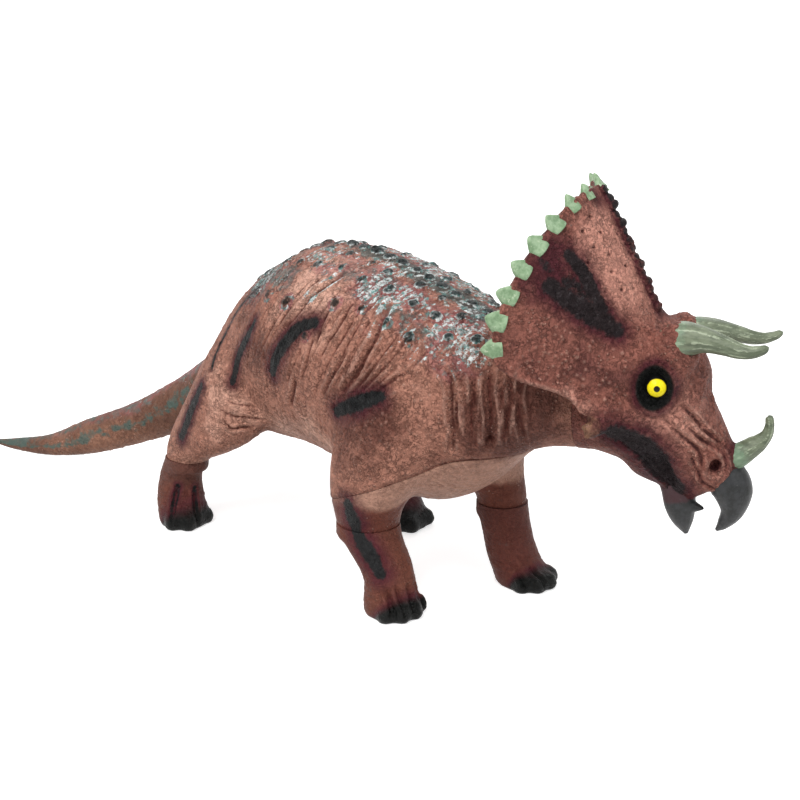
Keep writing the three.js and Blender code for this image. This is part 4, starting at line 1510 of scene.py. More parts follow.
        for i, far in enumerate(np.arange(2.0, marks[-1], self.stud_pitch)):
            spot = place_on(line, marks, far)
            end = abs(2 * far / marks[-1] - 1)
            radius = (4.4 + 0.4 * math.sin(5.0 * i)) * (1 - 0.3 * end)
            Stud(tuple(spot), radius, 0.5 * radius, 0.85, 0.7).raise_on(skin)
        for i, place in enumerate(self.flank_studs):
            for spot in (place, across_torso((place,))[0]):
                radius = 2.8 + 1.2 * ((i * 7) % 5) / 4
                Stud(spot, radius, 0.45 * radius, 0.7, 0.8).raise_on(skin)
        skin.aim()
        skin.settle(12, 0.9)

    def paint(self, skin: Skin) -> None:
        """Spray the strokes and brush the spine.

        Args:
            skin: The sculpted skin.
        """
        strokes = (
            Stroke(((-19, -61, 137), (-24, -63, 127), (-33, -62, 113), (-35, -65, 99)), 3.2, 5.5),
            Stroke(((36, -61, 149), (27, -63, 145), (19, -67, 136), (11, -68, 124), (8, -69, 116)),
                   4.9, 7.0),
            Stroke(((64, -67, 107), (75, -66, 113), (85, -64, 118), (92, -61, 121)), 5.0, 7.0),
            Stroke(((-35, -46, 151), (-50, -48, 137), (-56, -51, 125), (-58, -58, 112),
                    (-55, -65, 102)), 1.5, 2.5, 0.95, 0.7),
            Stroke(((-61, -70, 90), (-63, -71, 84), (-66, -73, 75), (-67, -76, 67), (-69, -78, 60)),
                   4.6, 5.5, 0.9),
        )
        for stroke in strokes:
            for path in (stroke.path, across_torso(stroke.path)):
                stroke.spray(skin, path)
        p = skin.points
        spine = np.interp(p[:, 0], SPINE[:, 0], SPINE[:, 1])
        aside = np.abs(p[:, 1] - spine) + 14 * (cloud(p, 16.0, 51, 3) - 0.5)
        upper = ramp(0.1, 0.5, skin.normals[:, 2])
        upper = upper * ramp(112, 132, p[:, 2] + 0.14 * p[:, 0])
        neck = ramp(118, 140, p[:, 0])
        near = fall(26, 50, aside + 22 * neck)
        patch = 0.5 + 0.5 * ramp(0.42, 0.6, cloud(p, (18, 10, 14), 61, 3))
        patch = np.maximum(patch, 0.9 * ramp(4.0, 14.0, p[:, 1] - spine))
        front = 0.7 + 0.3 * ramp(0, 60, p[:, 0])
        skin.wash(Paint.FROST, np.clip(near * upper * patch * front, 0, 1))
        band = fall(3, 12, aside) * ramp(5, 30, p[:, 0])
        drift = ramp(0.52, 0.66, cloud(p, (40, 14, 26), 71, 3))
        skin.wash(Paint.TEAL, np.clip((band + 0.45 * near * drift) * upper, 0, 1))
        for place, reach, frost, teal in (
            ((127, -29, 147), 14, 0.85, 0.2), ((112, -37, 147), 13, 0.7, 0.3),
            ((-36, -38, 154), 21, 0.85, 0.75), ((-12, -44, 160), 14, 0.65, 0.75),
            ((88, -34, 162), 14, 0.3, 0.3), ((66, -30, 168), 13, 0.25, 0.1),
            ((-8, -10, 173), 12, 0.7, 0.6), ((12, -10, 178), 12, 0.7, 0.6),
            ((-26, -22, 165), 13, 0.6, 0.4), ((-64, -70, 88), 7, 0.5, 0.0),
            ((-68, -76, 66), 6, 0.6, 0.4),
        ):
            for spot in (place, across_torso((place,))[0]):
                blot = bell(np.linalg.norm(p - spot, axis=1) / reach)
                if place[2] > 100:
                    blot = blot * ramp(126, 140, p[:, 2]) * fall(138, 144, p[:, 0])
                skin.wash(Paint.FROST, frost * blot)
                skin.wash(Paint.TEAL, teal * blot)
        for place, reach, amount in self.tones_and_painted_light:
            for spot in (place, across_torso((place,))[0]):
                skin.shade(spot, reach, amount)
        for body, (centre, radius) in LEG_SEAMS.items():
            if body in (Body.RIGHT_FORE, Body.LEFT_FORE):
                off = np.linalg.norm((p - centre)[:, :2], axis=1)
                rise = p[:, 2] + 5 * (cloud(p, 9.0, 81, 3) - 0.5)
                low = fall(centre[2] + 8, centre[2] + 22, rise)
                skin.wash(Paint.LIMB, low * fall(radius + 8, radius + 20, off))
        knee = Stroke(((80, -74, 60), (82, -72, 52), (83, -70, 44)), 4.6, 8.0)
        knee.spray(skin, knee.path)

    def part(self, skin: Skin, finishes: Finishes) -> list[Object]:
        """Part the skin along the seams.

        Args:
            skin: The sculpted skin.
            finishes: The materials.

        Returns:
            The body and the chest.
        """
        mesh = skin.mesh()
        seams = [
            Seam(*NECK_SEAM, NECK_RADIUS + 10), Seam(*TAIL_SEAM, TAIL_RADIUS + 9),
            *(Seam(centre, (0, 0, -1), radius + 10) for centre, radius in LEG_SEAMS.values()),
        ]
        made = []
        for name, node, flip, finish in (
            ("body_skin", "body_casting", -1, Finish.BODY),
            ("chest_skin", "chest_casting", 1, Finish.CHEST),
        ):
            shape = bmesh.new()
            shape.from_mesh(mesh)
            for seam in seams:
                seam.cut(shape)
            self.bend(shape, 1)
            normal = Vector(self.chest_slope) * flip
            bmesh.ops.bisect_plane(
                shape, geom=[*shape.verts, *shape.edges, *shape.faces],
                plane_co=Vector(self.chest_point) * MM - 0.1 * MM * normal, plane_no=normal,
                clear_outer=True,
            )
            rim = [e for e in shape.edges if e.is_boundary]
            caps = bmesh.ops.holes_fill(shape, edges=rim, sides=0)["faces"]
            for edge in rim:
                edge.smooth = False
            self.strip(shape, caps)
            self.bend(shape, -1)
            piece = to_object(name, to_mesh(shape, name), finishes[finish])
            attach(piece, Body.TORSO.value)
            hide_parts(node)
            made.append(piece)
        bpy.data.meshes.remove(mesh)
        return made

    @staticmethod
    def strip(shape: Shape, caps: list[bmesh.types.BMFace]) -> None:
        """Cut the faces that close a flat cut into strips, so that they bend with it.

        Args:
            shape: The shape in metres.
            caps: The faces.
        """
        for x in range(44, 160, 3):
            edges = {edge for face in caps for edge in face.edges}
            verts = {vert for face in caps for vert in face.verts}
            made = bmesh.ops.bisect_plane(
                shape, geom=[*verts, *edges, *caps], plane_co=(x * MM, 0, 0), plane_no=(1, 0, 0))
            fresh = (part for part in made["geom"] if isinstance(part, bmesh.types.BMFace))
            caps = list({*(face for face in caps if face.is_valid), *fresh})

    def bend(self, shape: Shape, way: int) -> None:
        """Shift a shape so that the curved chest seam lies in its flat slope, or back."""
        for vert in shape.verts:
            vert.co.z -= way * MM * self.seam_height(vert.co.x / MM)


@dataclass
class Tail:
    """The tail, a tapering bar that trails from its swivel to a fine tip."""

    root: Point = TAIL_SEAM[0]
    length: float = 185.0
    radius: float = TAIL_RADIUS
    rows: Rows = (
        (0, 0, 0, 1), (-0.135, -0.049, -0.086, 0.825), (-0.297, -0.151, -0.181, 0.65),
        (-0.459, -0.243, -0.254, 0.56), (-0.595, -0.319, -0.305, 0.35),
        (-0.719, -0.384, -0.322, 0.2), (-0.789, -0.422, -0.324, 0.09),
    )
    sides: int = 120
    steps: int = 30

    def build(self, finishes: Finishes) -> list[Object]:
        """Make the tail.

        Args:
            finishes: The materials.

        Returns:
            The tail.
        """
        fine = resample(self.rows, self.steps)
        centres = np.array(self.root) + fine[:, :3] * self.length
        axis = np.array(TAIL_SEAM[1])
        centres[0] = centres[0] + 0.3 * axis
        along = unit(np.gradient(centres, axis=0))
        along[0] = axis
        along[1:8] = unit(along[1:8] + (7 - np.arange(7))[:, None] / 7 * (axis - along[1:8]))
        side = unit(np.cross(along, UPWARD))
        grid = ring_grid(
            centres, side, np.cross(side, along), fine[:, 3] * self.radius,
            fine[:, 3] * self.radius, self.sides,
        )
        skin = grid_skin("tail_skin", grid)
        place = np.repeat(np.linspace(0, 1, len(fine)), self.sides)
        taper = np.repeat(fine[:, 3], self.sides)
        fade = ramp(0.0, 0.03, place) * np.clip(taper * 1.6, 0, 1)
        run = tuple(along[len(along) // 2])
        Wrinkles((-180, -50, 40), (140, 90, 60), run, 4.0, 16, 0.5, 5).carve(skin, fade)
        grain, _ = pebbles(skin.points, 4.2, 9, 0.6)
        skin.push(0.28 * fade * fall(0.12, 0.5, grain))
        skin.aim()
        skin.settle()
        up_share = skin.normals[:, 2] + 0.8 * (cloud(skin.points, (26, 26, 9), 3, 3) - 0.5)
        stripe = bell((up_share - 0.12) / 0.24)
        stripe = stripe * (0.55 + 0.45 * cloud(skin.points, 18.0, 5, 2))
        tip = ramp(0.55, 0.85, place) * ramp(-0.2, 0.3, up_share)
        skin.wash(Paint.TEAL, np.clip(np.maximum(0.85 * stripe, 0.75 * tip), 0, 1))
        top = ramp(0.35, 0.8, up_share)
        skin.wash(Paint.TEAL, 0.42 * top)
        skin.wash(Paint.FROST, (0.32 + 0.25 * fall(0.1, 0.5, place)) * top)
        skin.shade((-180, -50, 20), (90, 60, 16), 0.3)
        piece = to_object("tail_skin", closed(skin), finishes[Finish.TAIL])
        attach(piece, Body.TAIL.value)
        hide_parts("tail")
        return [piece]


@dataclass
class Leg:
    """One lower leg, from its swivel seam to the toes."""

    body: Body
    node: str
    cell: float = 1.2
    rounds: int = 7
    toe_gaps: dict[Body, tuple[Path, ...]] = field(default_factory=lambda: {
        Body.RIGHT_HIND: (
            ((-76, -76, 26), (-76, -78, 20), (-75, -81, 13), (-73, -84, 7)),
            ((-72, -66, 24), (-70, -68, 16), (-67, -69, 11), (-65, -69, 4)),
        ),
        Body.RIGHT_FORE: (
            ((105, -67, 17), (109, -67, 10), (112, -69, 4)),
            ((107, -62, 18), (112, -62, 11), (115, -63, 4)),
            ((108, -55, 18), (112, -55, 10), (116, -56, 4)),
            ((107, -48, 17), (110, -46, 9), (114, -47, 4)),
        ),
        Body.LEFT_FORE: (
            ((127, 22, 17), (132, 23, 10), (136, 24, 3)), ((122, 13, 14), (127, 13, 8), (130, 12, 3)),
        ),
    })

    def build(self, finishes: Finishes) -> list[Object]:
        """Make the leg.

        Args:
            finishes: The materials.

        Returns:
            The leg.
        """
        centre, radius = LEG_SEAMS[self.body]
        skin = Skin.wrap(
            self.node + "_skin", (self.node,), (Plug(centre, (0, 0, 1), radius),), self.cell,
            self.rounds, 1,
        )
        self.sculpt(skin)
        skin.settle()
        self.paint(skin)
        mesh = closed(skin, (Seam(centre, (0, 0, 1), radius + 10),))
        piece = to_object(self.node + "_skin", mesh, finishes[Finish.LEG])
        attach(piece, self.body.value)
        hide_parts(self.node)
        return [piece]

    def sculpt(self, skin: Skin) -> None:
        """Carve the wrinkles round the ankle and over the toes.

        Args:
            skin: The wrapped skin.
        """
        p = skin.points
        x, y, z = LEG_SEAMS[self.body][0]
        keep = ramp(0.5, 4.0, p[:, 2]) * fall(z - 3, z, p[:, 2])
        Wrinkles((x, y, 14), (60, 60, 12), (0.1, 0, 1), 3.2, 13, 0.55, 5, 0.12).carve(skin, keep)
        Wrinkles((x, y, z - 8), (60, 60, 14), (0.5, 0.3, 0.8), 4.5, 18, 0.4, 15).carve(skin, keep)
        grain, _ = pebbles(skin.points, 3.0, 9, 0.5)
        skin.push(0.16 * keep * fall(0.12, 0.5, grain))
        for path in self.toe_gaps.get(self.body, ()):
            Groove(path, 1.5, 2.2, 0.6).carve(skin, path)
        skin.aim()

    def paint(self, skin: Skin) -> None:
        """Darken the toes and spray the strokes.

        Args:
            skin: The sculpted skin.
        """
        p = skin.points
        heading = (p[:, 0] - np.median(p[:, 0])) / LEG_SEAMS[self.body][1]
        mist = 4.0 * (cloud(p, 7.0, 3, 2) - 0.5)
        hind = self.body in (Body.RIGHT_HIND, Body.LEFT_HIND)
        rise, start, end = (9.0, -0.6, 0.1) if hind else (16.0, 0.3, 1.5)
        heel = rise * fall(start, end, heading)
        low = p[:, 2] + mist - 6.0 * np.clip(heading, -1, 1) + heel
        brown = fall(16.0, 36.0, p[:, 2] + mist) if hind else np.ones(len(p))
        skin.wash(Paint.LIMB, brown)
        skin.wash(Paint.CLAW, fall(2.5, 12.0 if hind else 9.0, low))
        skin.wash(Paint.BLUSH, 0.95 * fall(6.0, 28.0 if hind else 16.0, low))
        for path in self.toe_gaps.get(self.body, ()) if hind else ():
            Stroke(path, 2.2, 3.0, 0.95).spray(skin, path)
        if self.body is Body.RIGHT_FORE:
            shin = Stroke(((83, -71, 47), (86, -69, 40), (92, -68, 34), (100, -67, 25)), 4.6, 8.0)
            shin.spray(skin, shin.path)
        if self.body is Body.LEFT_FORE:
            # Painted shade: the far fore leg is made darker all over with a thin maroon coat.
            skin.wash(Paint.BLUSH, 0.3 * np.ones(len(p)))


@dataclass
class Head:
    """The head with its frill, horns, beak and eyes."""

    cell: float = 1.6
    rounds: int = 9
    eye_radius: float = 6.4
    eye_share: Point = (0.425, 0.325, 0.142)
    horn_length: float = 43.0
    horn_width: float = 9.5
    horn_rows: Rows = (
        (-0.34, -0.07, -0.26, 0.8, 0.8), (-0.14, -0.03, -0.08, 0.95, 0.95), (0, 0, 0, 0.97, 0.97),
        (0.18, 0.035, 0.03, 0.76, 0.76), (0.34, 0.07, 0.02, 0.6, 0.6), (0.5, 0.1, -0.01, 0.5, 0.5),
        (0.64, 0.125, -0.04, 0.42, 0.42), (0.78, 0.145, -0.045, 0.34, 0.34),
        (0.9, 0.16, -0.01, 0.27, 0.27), (0.97, 0.168, 0.03, 0.2, 0.2), (1, 0.17, 0.05, 0.04, 0.04),
    )
    nose_rows: Rows = (
        (-0.3, 0, -0.25, 0.8, 0.8), (0, 0, 0, 0.9, 0.9), (0.3, 0, 0.25, 0.75, 0.75),
        (0.46, 0, 0.38, 0.62, 0.62), (0.6, 0, 0.56, 0.46, 0.46), (0.65, 0, 0.77, 0.34, 0.34),
        (0.64, 0, 0.94, 0.26, 0.26), (0.62, 0, 1, 0.05, 0.05),
    )
    upper_beak_rows: Rows = (
        (0, 0, 0.02, 0.44, 0.36), (0.1, 0, -0.14, 0.5, 0.48), (0.2, 0, -0.36, 0.47, 0.47),
        (0.2, 0, -0.65, 0.34, 0.29), (0.08, 0, -0.88, 0.18, 0.15), (-0.02, 0, -1, 0.04, 0.04),
    )
    lower_beak_rows: Rows = (
        (-0.06, 0, 0.2, 0.5, 0.5), (0, 0, 0, 0.52, 0.5), (0.08, 0, -0.36, 0.5, 0.48),
        (0.16, 0, -0.7, 0.36, 0.33), (0.24, 0, -1, 0.06, 0.06),
    )
    edge_rows: Path = (
        (0.04, 0, 0.933), (-0.03, 0.287, 0.908), (-0.11, 0.475, 0.817), (-0.2, 0.6, 0.7),
        (-0.27, 0.688, 0.567), (-0.33, 0.75, 0.417), (-0.33, 0.738, 0.275),
        (-0.24, 0.675, 0.175), (-0.08, 0.588, 0.125), (0.08, 0.525, 0.058),
    )
    base_rows: Path = (
        (0.36, 0, 0.375), (0.35, 0.087, 0.375), (0.33, 0.163, 0.358), (0.31, 0.237, 0.333),
        (0.29, 0.3, 0.292), (0.27, 0.35, 0.242), (0.25, 0.388, 0.192), (0.23, 0.412, 0.133),
        (0.22, 0.425, 0.067), (0.2, 0.438, -0.017),
    )
    valley: Path = (
        (195, -2, 144), (199, 6, 154), (200, 14, 161), (195, 27, 164), (193, 37, 166), (196, 44, 168),
    )
    ridge: Path = (
        (168, 22, 234), (173, 25, 225), (176, 27, 216), (180, 29, 206), (184, 32, 197),
        (188, 34, 189), (191, 36, 181), (195, 38, 172),
    )
    ridge_beads: int = 15
    tab_count: int = 17
    tab_span: tuple[float, float] = (0.17, 0.83)
    tab_length: float = 10.6

    def bars(self) -> dict[str, HeadBar]:
        """Shape the horns and the two halves of the beak.

        Returns:
            The bars by the names of their nodes.
        """
        return {
            "right_brow_horn": HeadBar(
                (0.54, 0.255, 0.34), self.horn_rows, self.horn_length, self.horn_width, -1),
            "left_brow_horn": HeadBar(
                (0.54, 0.25, 0.28), self.horn_rows, self.horn_length, 0.88 * self.horn_width),
            "nose_horn": HeadBar((0.81, 0, -0.208), self.nose_rows, 24.0, 7.0),
            "upper_beak": HeadBar((0.735, 0, -0.27), self.upper_beak_rows, 34.0, 22.0),
            "lower_beak": HeadBar((0.515, 0, -0.385), self.lower_beak_rows, 24.0, 17.0),
        }

    def build(self, finishes: Finishes) -> list[Object]:
        """Make the head.

        Args:
            finishes: The materials.

        Returns:
            Every piece of the head.
        """
        bars = self.bars()
        roots = [grid_skin(name, self.root(name, bar)) for name, bar in bars.items()]
        skin = Skin.wrap(
            "head_skin", ("head_casting", "right_eye", "left_eye"),
            (Plug(*NECK_SEAM, NECK_RADIUS),), self.cell, self.rounds, 1,
            extra=self.brow(fill_with(roots)),
        )
        LOG.info("head skin has %d points", len(skin.points))
        self.trim(skin)
        for path in (self.valley, across_head(self.valley)):
            skin.soften(path, 15.0, 45)
        skin.soften(self.ridge, 5.0, 16)
        self.sculpt(skin)
        self.paint(skin)
        seam = Seam(NECK_SEAM[0], tuple(-AHEAD), NECK_RADIUS + 8)
        head = to_object("head_skin", closed(skin, (seam,)), finishes[Finish.HEAD])
        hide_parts("head_casting")
        pieces = [head, *self.horns(bars, finishes), self.scallops(finishes), *self.eyes(finishes)]
        for piece in pieces:
            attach(piece, Body.HEAD.value)
        return pieces

    @staticmethod
    def root(name: str, bar: HeadBar) -> Array:
        """Shape the skin that holds a horn's or a beak's root.

        Args:
            name: Name of its node.
            bar: The horn or beak.

        Returns:
            The rings of the skin.
        """
        if not name.endswith("brow_horn"):
            return bar.grid(6, 24, 0.9, 3)
        rim = ((-0.02, 0, 0, 1.0, 1.0), (0.06, 0.01, 0.01, 0.7, 0.7))
        return replace(bar, rows=(*bar.rows[:2], *rim)).grid(6, 24, 1.06)

    def brow(self, shape: Shape) -> Shape:
        """Add round fillings between the frill's foot and the brow.

        Args:
            shape: Shape in metres that gets them.

        Returns:
            The same shape.
        """
        inward = np.array((-0.5, 0.35, -0.8))
        for path in (self.valley[1:5], across_head(self.valley[1:5])):
            for spot in resample(path, 2):
                way = inward if path == self.valley[1:5] else inward * (1, -1, 1)
                matrix = Matrix.Translation(Vector(spot + 9.0 * way) * MM)
                bmesh.ops.create_icosphere(shape, subdivisions=4, radius=13.0 * MM, matrix=matrix)
        return shape

    def marks(self) -> list[Groove]:
        """List the sculpted lines and spots of the right side of the face.

        Returns:
            The marks.
        """
        spots = [
            *(Groove((p,), 1.1, 0.9, 0.25) for p in (
                (176, 4, 223), (178, -3, 217), (180, 9, 215), (182, 2, 209), (184, 11, 204),
                (189, 4, 187), (191, 14, 187), (187, 10, 196), (186, 21, 197), (183, -3, 202),
                (178, 22, 212))),
            *(Groove((p,), 1.5, -0.9) for p in (
                (184, -21, 166), (181, -27, 159), (187, -18, 151), (195, -5, 151),
                (191, -12, 142), (197, -3, 135), (183, -22, 165), (179, -29, 160),
                (196, 28, 163), (197, 24, 161), (199, 6, 156), (188, -14, 157), (192, -9, 160),
                (186, -12, 148), (195, 1, 146), (180, -22, 172), (200, 14, 120), (204, 16, 122))),
        ]
        return [
            Groove(((220, 29, 130), (223, 36, 123), (226, 44, 114), (230, 53, 105)), 1.4, 1.2, 0.8),
            Groove(((222, 34, 117), (224, 39, 112), (227, 45, 108),
                    (230, 51, 103), (231, 53, 96), (231, 51, 90)), 1.2, 1.1, 0.8),
            Groove(((216, 22, 124), (219, 28, 116), (224, 37, 107), (226, 40, 101),
                    (225, 41, 93), (226, 44, 88)), 1.3, 1.0, 0.7),
            Groove(((222, 36, 103), (224, 40, 93), (225, 43, 87), (227, 50, 83)), 1.1, 1.1, 0.7),
            Groove(((226, 50, 95),), 3.2, 3.6, 1.6),
            Groove(((197, 2, 113), (203, 10, 111), (207, 19, 106), (208, 31, 93),
                    (211, 38, 82)), 6.6, 2.0, 0.8),
            Groove(((195, 3, 111), (200, 12, 105), (204, 20, 98), (206, 31, 87),
                    (208, 42, 77), (212, 44, 76)), 1.2, 1.6, 0.5),
            Groove(((197, -2, 119), (201, 6, 118), (208, 13, 116), (212, 20, 111), (216, 29, 102),
                    (217, 36, 90)), 1.8, -1.3),
            Groove(((198, 15, 168), (198, 27, 162), (217, 21, 160), (222, 24, 152)), 3.0, -1.2),
            Groove(((169, -43, 150), (173, -38, 146), (178, -31, 143), (183, -24, 140), (187, -18, 137),
                    (189, -14, 133), (189, -8, 126), (185, -1, 118)), 2.2, -2.4),
            Groove(((171, -40, 144), (176, -31, 140), (181, -24, 136), (184, -17, 131),
                    (184, -10, 123), (180, -3, 116)), 2.0, 1.8),
            Groove(((186, -1, 117), (191, -5, 117), (196, -9, 119)), 3.2, -3.4),
            Groove(((223, 44, 134), (223, 50, 130), (222, 56, 127)), 9.0, 2.2),
            Groove(((183, -27, 170), (188, -18, 160), (194, -6, 152), (199, 6, 150)), 9.0, -0.9),
            Groove(((207, 11, 140), (206, 15, 148), (211, 19, 151), (218, 22, 148),
                    (220, 23, 141), (217, 24, 131), (214, 18, 127), (210, 12, 132),
                    (207, 11, 140)), 1.9, -1.5),
            *spots,
        ]

    def sculpt(self, skin: Skin) -> None:
        """Carve the face, the frill's beads and the leathery grain.

        Args:
            skin: The trimmed skin.
        """
        for mark in self.marks():
            for path in (mark.path, across_head(mark.path)):
                mark.carve(skin, path)
        for flank in (1, -1):
            off = skin.points - head_share(self.eye_share, -flank)
            out = -flank * LEFTWARD
            flat = off - (off @ out)[:, None] * out
            far = np.sqrt((flat @ AHEAD / 9.5) ** 2 + (flat[:, 2] / 12.0) ** 2)
            bowl = fall(0.3, 1.0, far) * ((off @ out) > -2)
            skin.push(-3.2 * bowl)
            skin.wash(Paint.CLAW, fall(0.92, 1.06, far) * ((off @ out) > -6))
            skin.wash(Paint.BLUSH, fall(1.05, 1.6, far) * ((off @ out) > -8))
        line = resample(self.ridge)
        marks = marks_along(line)
        for i, far in enumerate(np.linspace(1, marks[-1] - 3, self.ridge_beads)):
            spot = place_on(line, marks, far)
            Stud(tuple(spot), 2.7, 1.7, 0.95 - 0.6 * i / self.ridge_beads).raise_on(skin)
        fields = (
            Wrinkles((200, 20, 130), (50, 50, 45), (0.5, 0.3, 0.8), 3.4, 12, 0.45, 3, 0.12),
            Wrinkles((185, 5, 190), (40, 60, 45), (0.2, 0.1, 1.0), 2.6, 9, 0.35, 13, 0.14),
            Wrinkles((222, 45, 108), (24, 24, 24), (0.8, -0.2, 0.6), 2.6, 12, 0.45, 23, 0.12),
        )
        for field_ in fields:
            field_.carve(skin)
        Pebbling((185, -10, 150), (36, 60, 45), 3.4, 0.8, 0.7, 5).carve(skin)
        Pebbling((190, 20, 190), (60, 90, 60), 2.8, 0.36, 0.6, 6).carve(skin)
        skin.aim()
        skin.settle(10, 0.7)

    def paint(self, skin: Skin) -> None:
        """Spray the strokes of the frill, the mouth and the ridge.

        Args:
            skin: The sculpted skin.
        """
        strokes = (
            Stroke(((179, -13, 207), (183, -7, 198), (186, -3, 188), (190, 1, 179)), 4.2, 6.0),
            Stroke(((178, -24, 192), (182, -17, 186), (186, -9, 180), (192, 1, 172), (195, 6, 168)),
                   6.4, 7.0),
            Stroke(((182, -15, 193), (187, -6, 183), (191, 2, 174)), 6.5, 5.0, 0.7),
            Stroke(((174, -27, 205), (176, -23, 200)), 3.0, 9.0, 0.6),
            Stroke(((198, 0, 113), (204, 10, 111), (207, 19, 105), (208, 31, 92), (211, 38, 80)),
                   8.2, 10.0),
            Stroke(self.ridge[:4], 2.0, 6.0, 0.8, 0.9),
            Stroke(self.ridge, 1.6, 6.0, 0.25, 1.0),
            Stroke(((176, -27, 200), (179, -22, 192), (182, -12, 200), (176, -20, 208)), 6.0, 11.0,
                   0.1, 1.0),
            Stroke(((203, 30, 84), (208, 38, 76), (212, 44, 72)), 7.0, 6.0, 0.15, 1.0),
            Stroke(((236, 56, 104), (238, 60, 98), (236, 62, 92)), 3.0, 9.0, 0.0, 1.0),
            Stroke(((174, -32, 190), (171, -34, 200), (169, -30, 210)), 4.0, 7.0, 0.0, 0.8),
            Stroke(((170, 12, 232), (172, 20, 229)), 3.0, 8.0, 0.2, 0.8),
            Stroke(((226, 50, 95),), 2.6, 2.5, 0.9, 0.7),
        )
        for stroke in strokes:
            for path in (stroke.path, across_head(stroke.path)):
                stroke.spray(skin, path)
        for spot in ((193, -8, 119), across_head(((193, -8, 119),))[0]):
            skin.wash(Paint.LIMB, np.exp(-((np.linalg.norm(skin.points - spot, axis=1) / 6.5) ** 4)))
        # Tone patches: the paint's own uneven tone, with painted light on the frill's upper part and
        # its lower rim, and painted shade on the cheeks and at the neck under the frill.
        tones_and_painted_light = (
            ((182, 10, 212), 20, 0.5), ((189, 20, 188), 18, 0.4), ((222, 30, 118), 16, 0.4),
            ((186, -8, 150), 18, -0.25), ((178, -25, 172), 16, -0.25),
            ((205, 30, 95), 14, -0.15), ((172, -12, 118), 14, -0.4), ((178, -22, 198), 12, -0.35),
            ((187, -18, 139), 6, 0.4), ((190, -11, 130), 6, 0.4),
        )
        for place, reach, amount in tones_and_painted_light:
            for spot in (place, across_head((place,))[0]):
                skin.shade(spot, reach, amount)

    def horns(self, bars: dict[str, HeadBar], finishes: Finishes) -> list[Object]:
        """Make the horns and the two halves of the beak.

        Args:
            bars: Their shapes.
            finishes: The materials.

        Returns:
            One piece for each bar.
        """
        made = []
        for i, (name, bar) in enumerate(bars.items()):
            grid = bar.grid(16, 64)
            skin = grid_skin(name + "_shell", grid)
            beak = name.endswith("beak")
            angle = np.tile(np.arange(64) / 64, len(grid)) * 2 * np.pi
            along = np.repeat(np.arange(len(grid)) / len(grid), 64)
            spiral = np.stack([np.cos(angle) * 4, np.sin(angle) * 4, along * 3.2], -1)
            streak = cloud(spiral, 1.0, 40 + i, 3)
            fade = ramp(0.0, 0.1, along) * fall(0.85, 1.0, along)
            skin.push((streak - 0.5) * (0.5 if beak else 1.1) * fade)
            skin.aim()
            skin.settle(8, 0.4)
            if name == "lower_beak":
                tooth = Groove(((220.0, 52.0, 69.0),), 2.0, -5.5)
                tooth.carve(skin, tooth.path)
                skin.wash(Paint.TEAL, 1.4 * fall(0.28, 0.46, along))
            if not beak:
                skin.wash(Paint.TEAL, fall(0.1, 0.34, along))
            slot, finish = ("beak", Finish.BEAK) if beak else ("horn", Finish.HORN)
            piece = to_object(name + "_shell", closed(skin), finishes[finish])
            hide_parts(name)
            made.append(piece)
        return made

    def frill_lines(self) -> tuple[Array, Array]:
        """Trace the frill from the right cheek to the left one.

        Returns:
            Its free edge and its foot.
        """
        lines = []
        for rows in (self.edge_rows, self.base_rows):
            fine = resample(rows, 6)
            half, other = ([head_share(row, flank) for row in fine] for flank in (1, -1))
            lines.append(np.array(other[:0:-1] + half))
        return lines[0], lines[1]

    def leaf_places(self) -> list[tuple[Array, Array, Array]]:
        """Space the scallops along the frill's edge.

        Returns:
            The place, the way out and the way along the edge, for each.
        """
        edge, base = self.frill_lines()
        length, foot = (marks_along(line) / marks_along(line)[-1] for line in (edge, base))
        places = []
        for i in range(self.tab_count):
            share = np.interp(i, (0, self.tab_count - 1), self.tab_span)
            spot, ahead, behind = (
                place_on(edge, length, share + step) for step in (0.0, 0.01, -0.01))
            inner = place_on(base, foot, share)
            along = unit(ahead - behind)
            out = spot - inner
            out = unit(out - (out @ along) * along)
            places.append((spot, out, along))
        return places

    def trim(self, skin: Skin) -> None:
        """Press the skin flat along the frill's edge, where the scallops sit.

        Args:
            skin: The wrapped skin.
        """
        edge, base = self.frill_lines()
        foot, steps = np.linspace(0, 1, len(edge)), np.linspace(0, 1, len(base))
        inner = np.stack([np.interp(foot, steps, base[:, k]) for k in range(3)], -1)
        along = unit(np.gradient(edge, axis=0))
        out = edge - inner
        out = unit(out - (out * along).sum(1)[:, None] * along)
        ends = (foot > 0.1) & (foot < 0.9)
        for spot, way in zip(edge[ends], out[ends]):
            off = skin.points - spot
            reach = off @ way
            near = np.exp(-((np.linalg.norm(off - reach[:, None] * way, axis=1) / 5.0) ** 4))
            over = np.clip(reach - 0.4, 0.0, None) * (reach < 9)
            skin.points = skin.points - (0.8 * near * over)[:, None] * way
        skin.points = skin.blur(skin.points, 1)
        skin.aim()

    def scallops(self, finishes: Finishes) -> Object:
        """Make the leaf-shaped scallops along the frill's edge.

        Args:
            finishes: The materials.

        Returns:
            All of them as one piece.
        """
        leaves = [
            self.leaf(f"leaf_{i}", spot, out, along, i)
            for i, (spot, out, along) in enumerate(self.leaf_places())
        ]
        name = "frill_scallops"
        piece = to_object(name, to_mesh(fill_with(leaves), name), finishes[Finish.SCALLOP])
        return piece

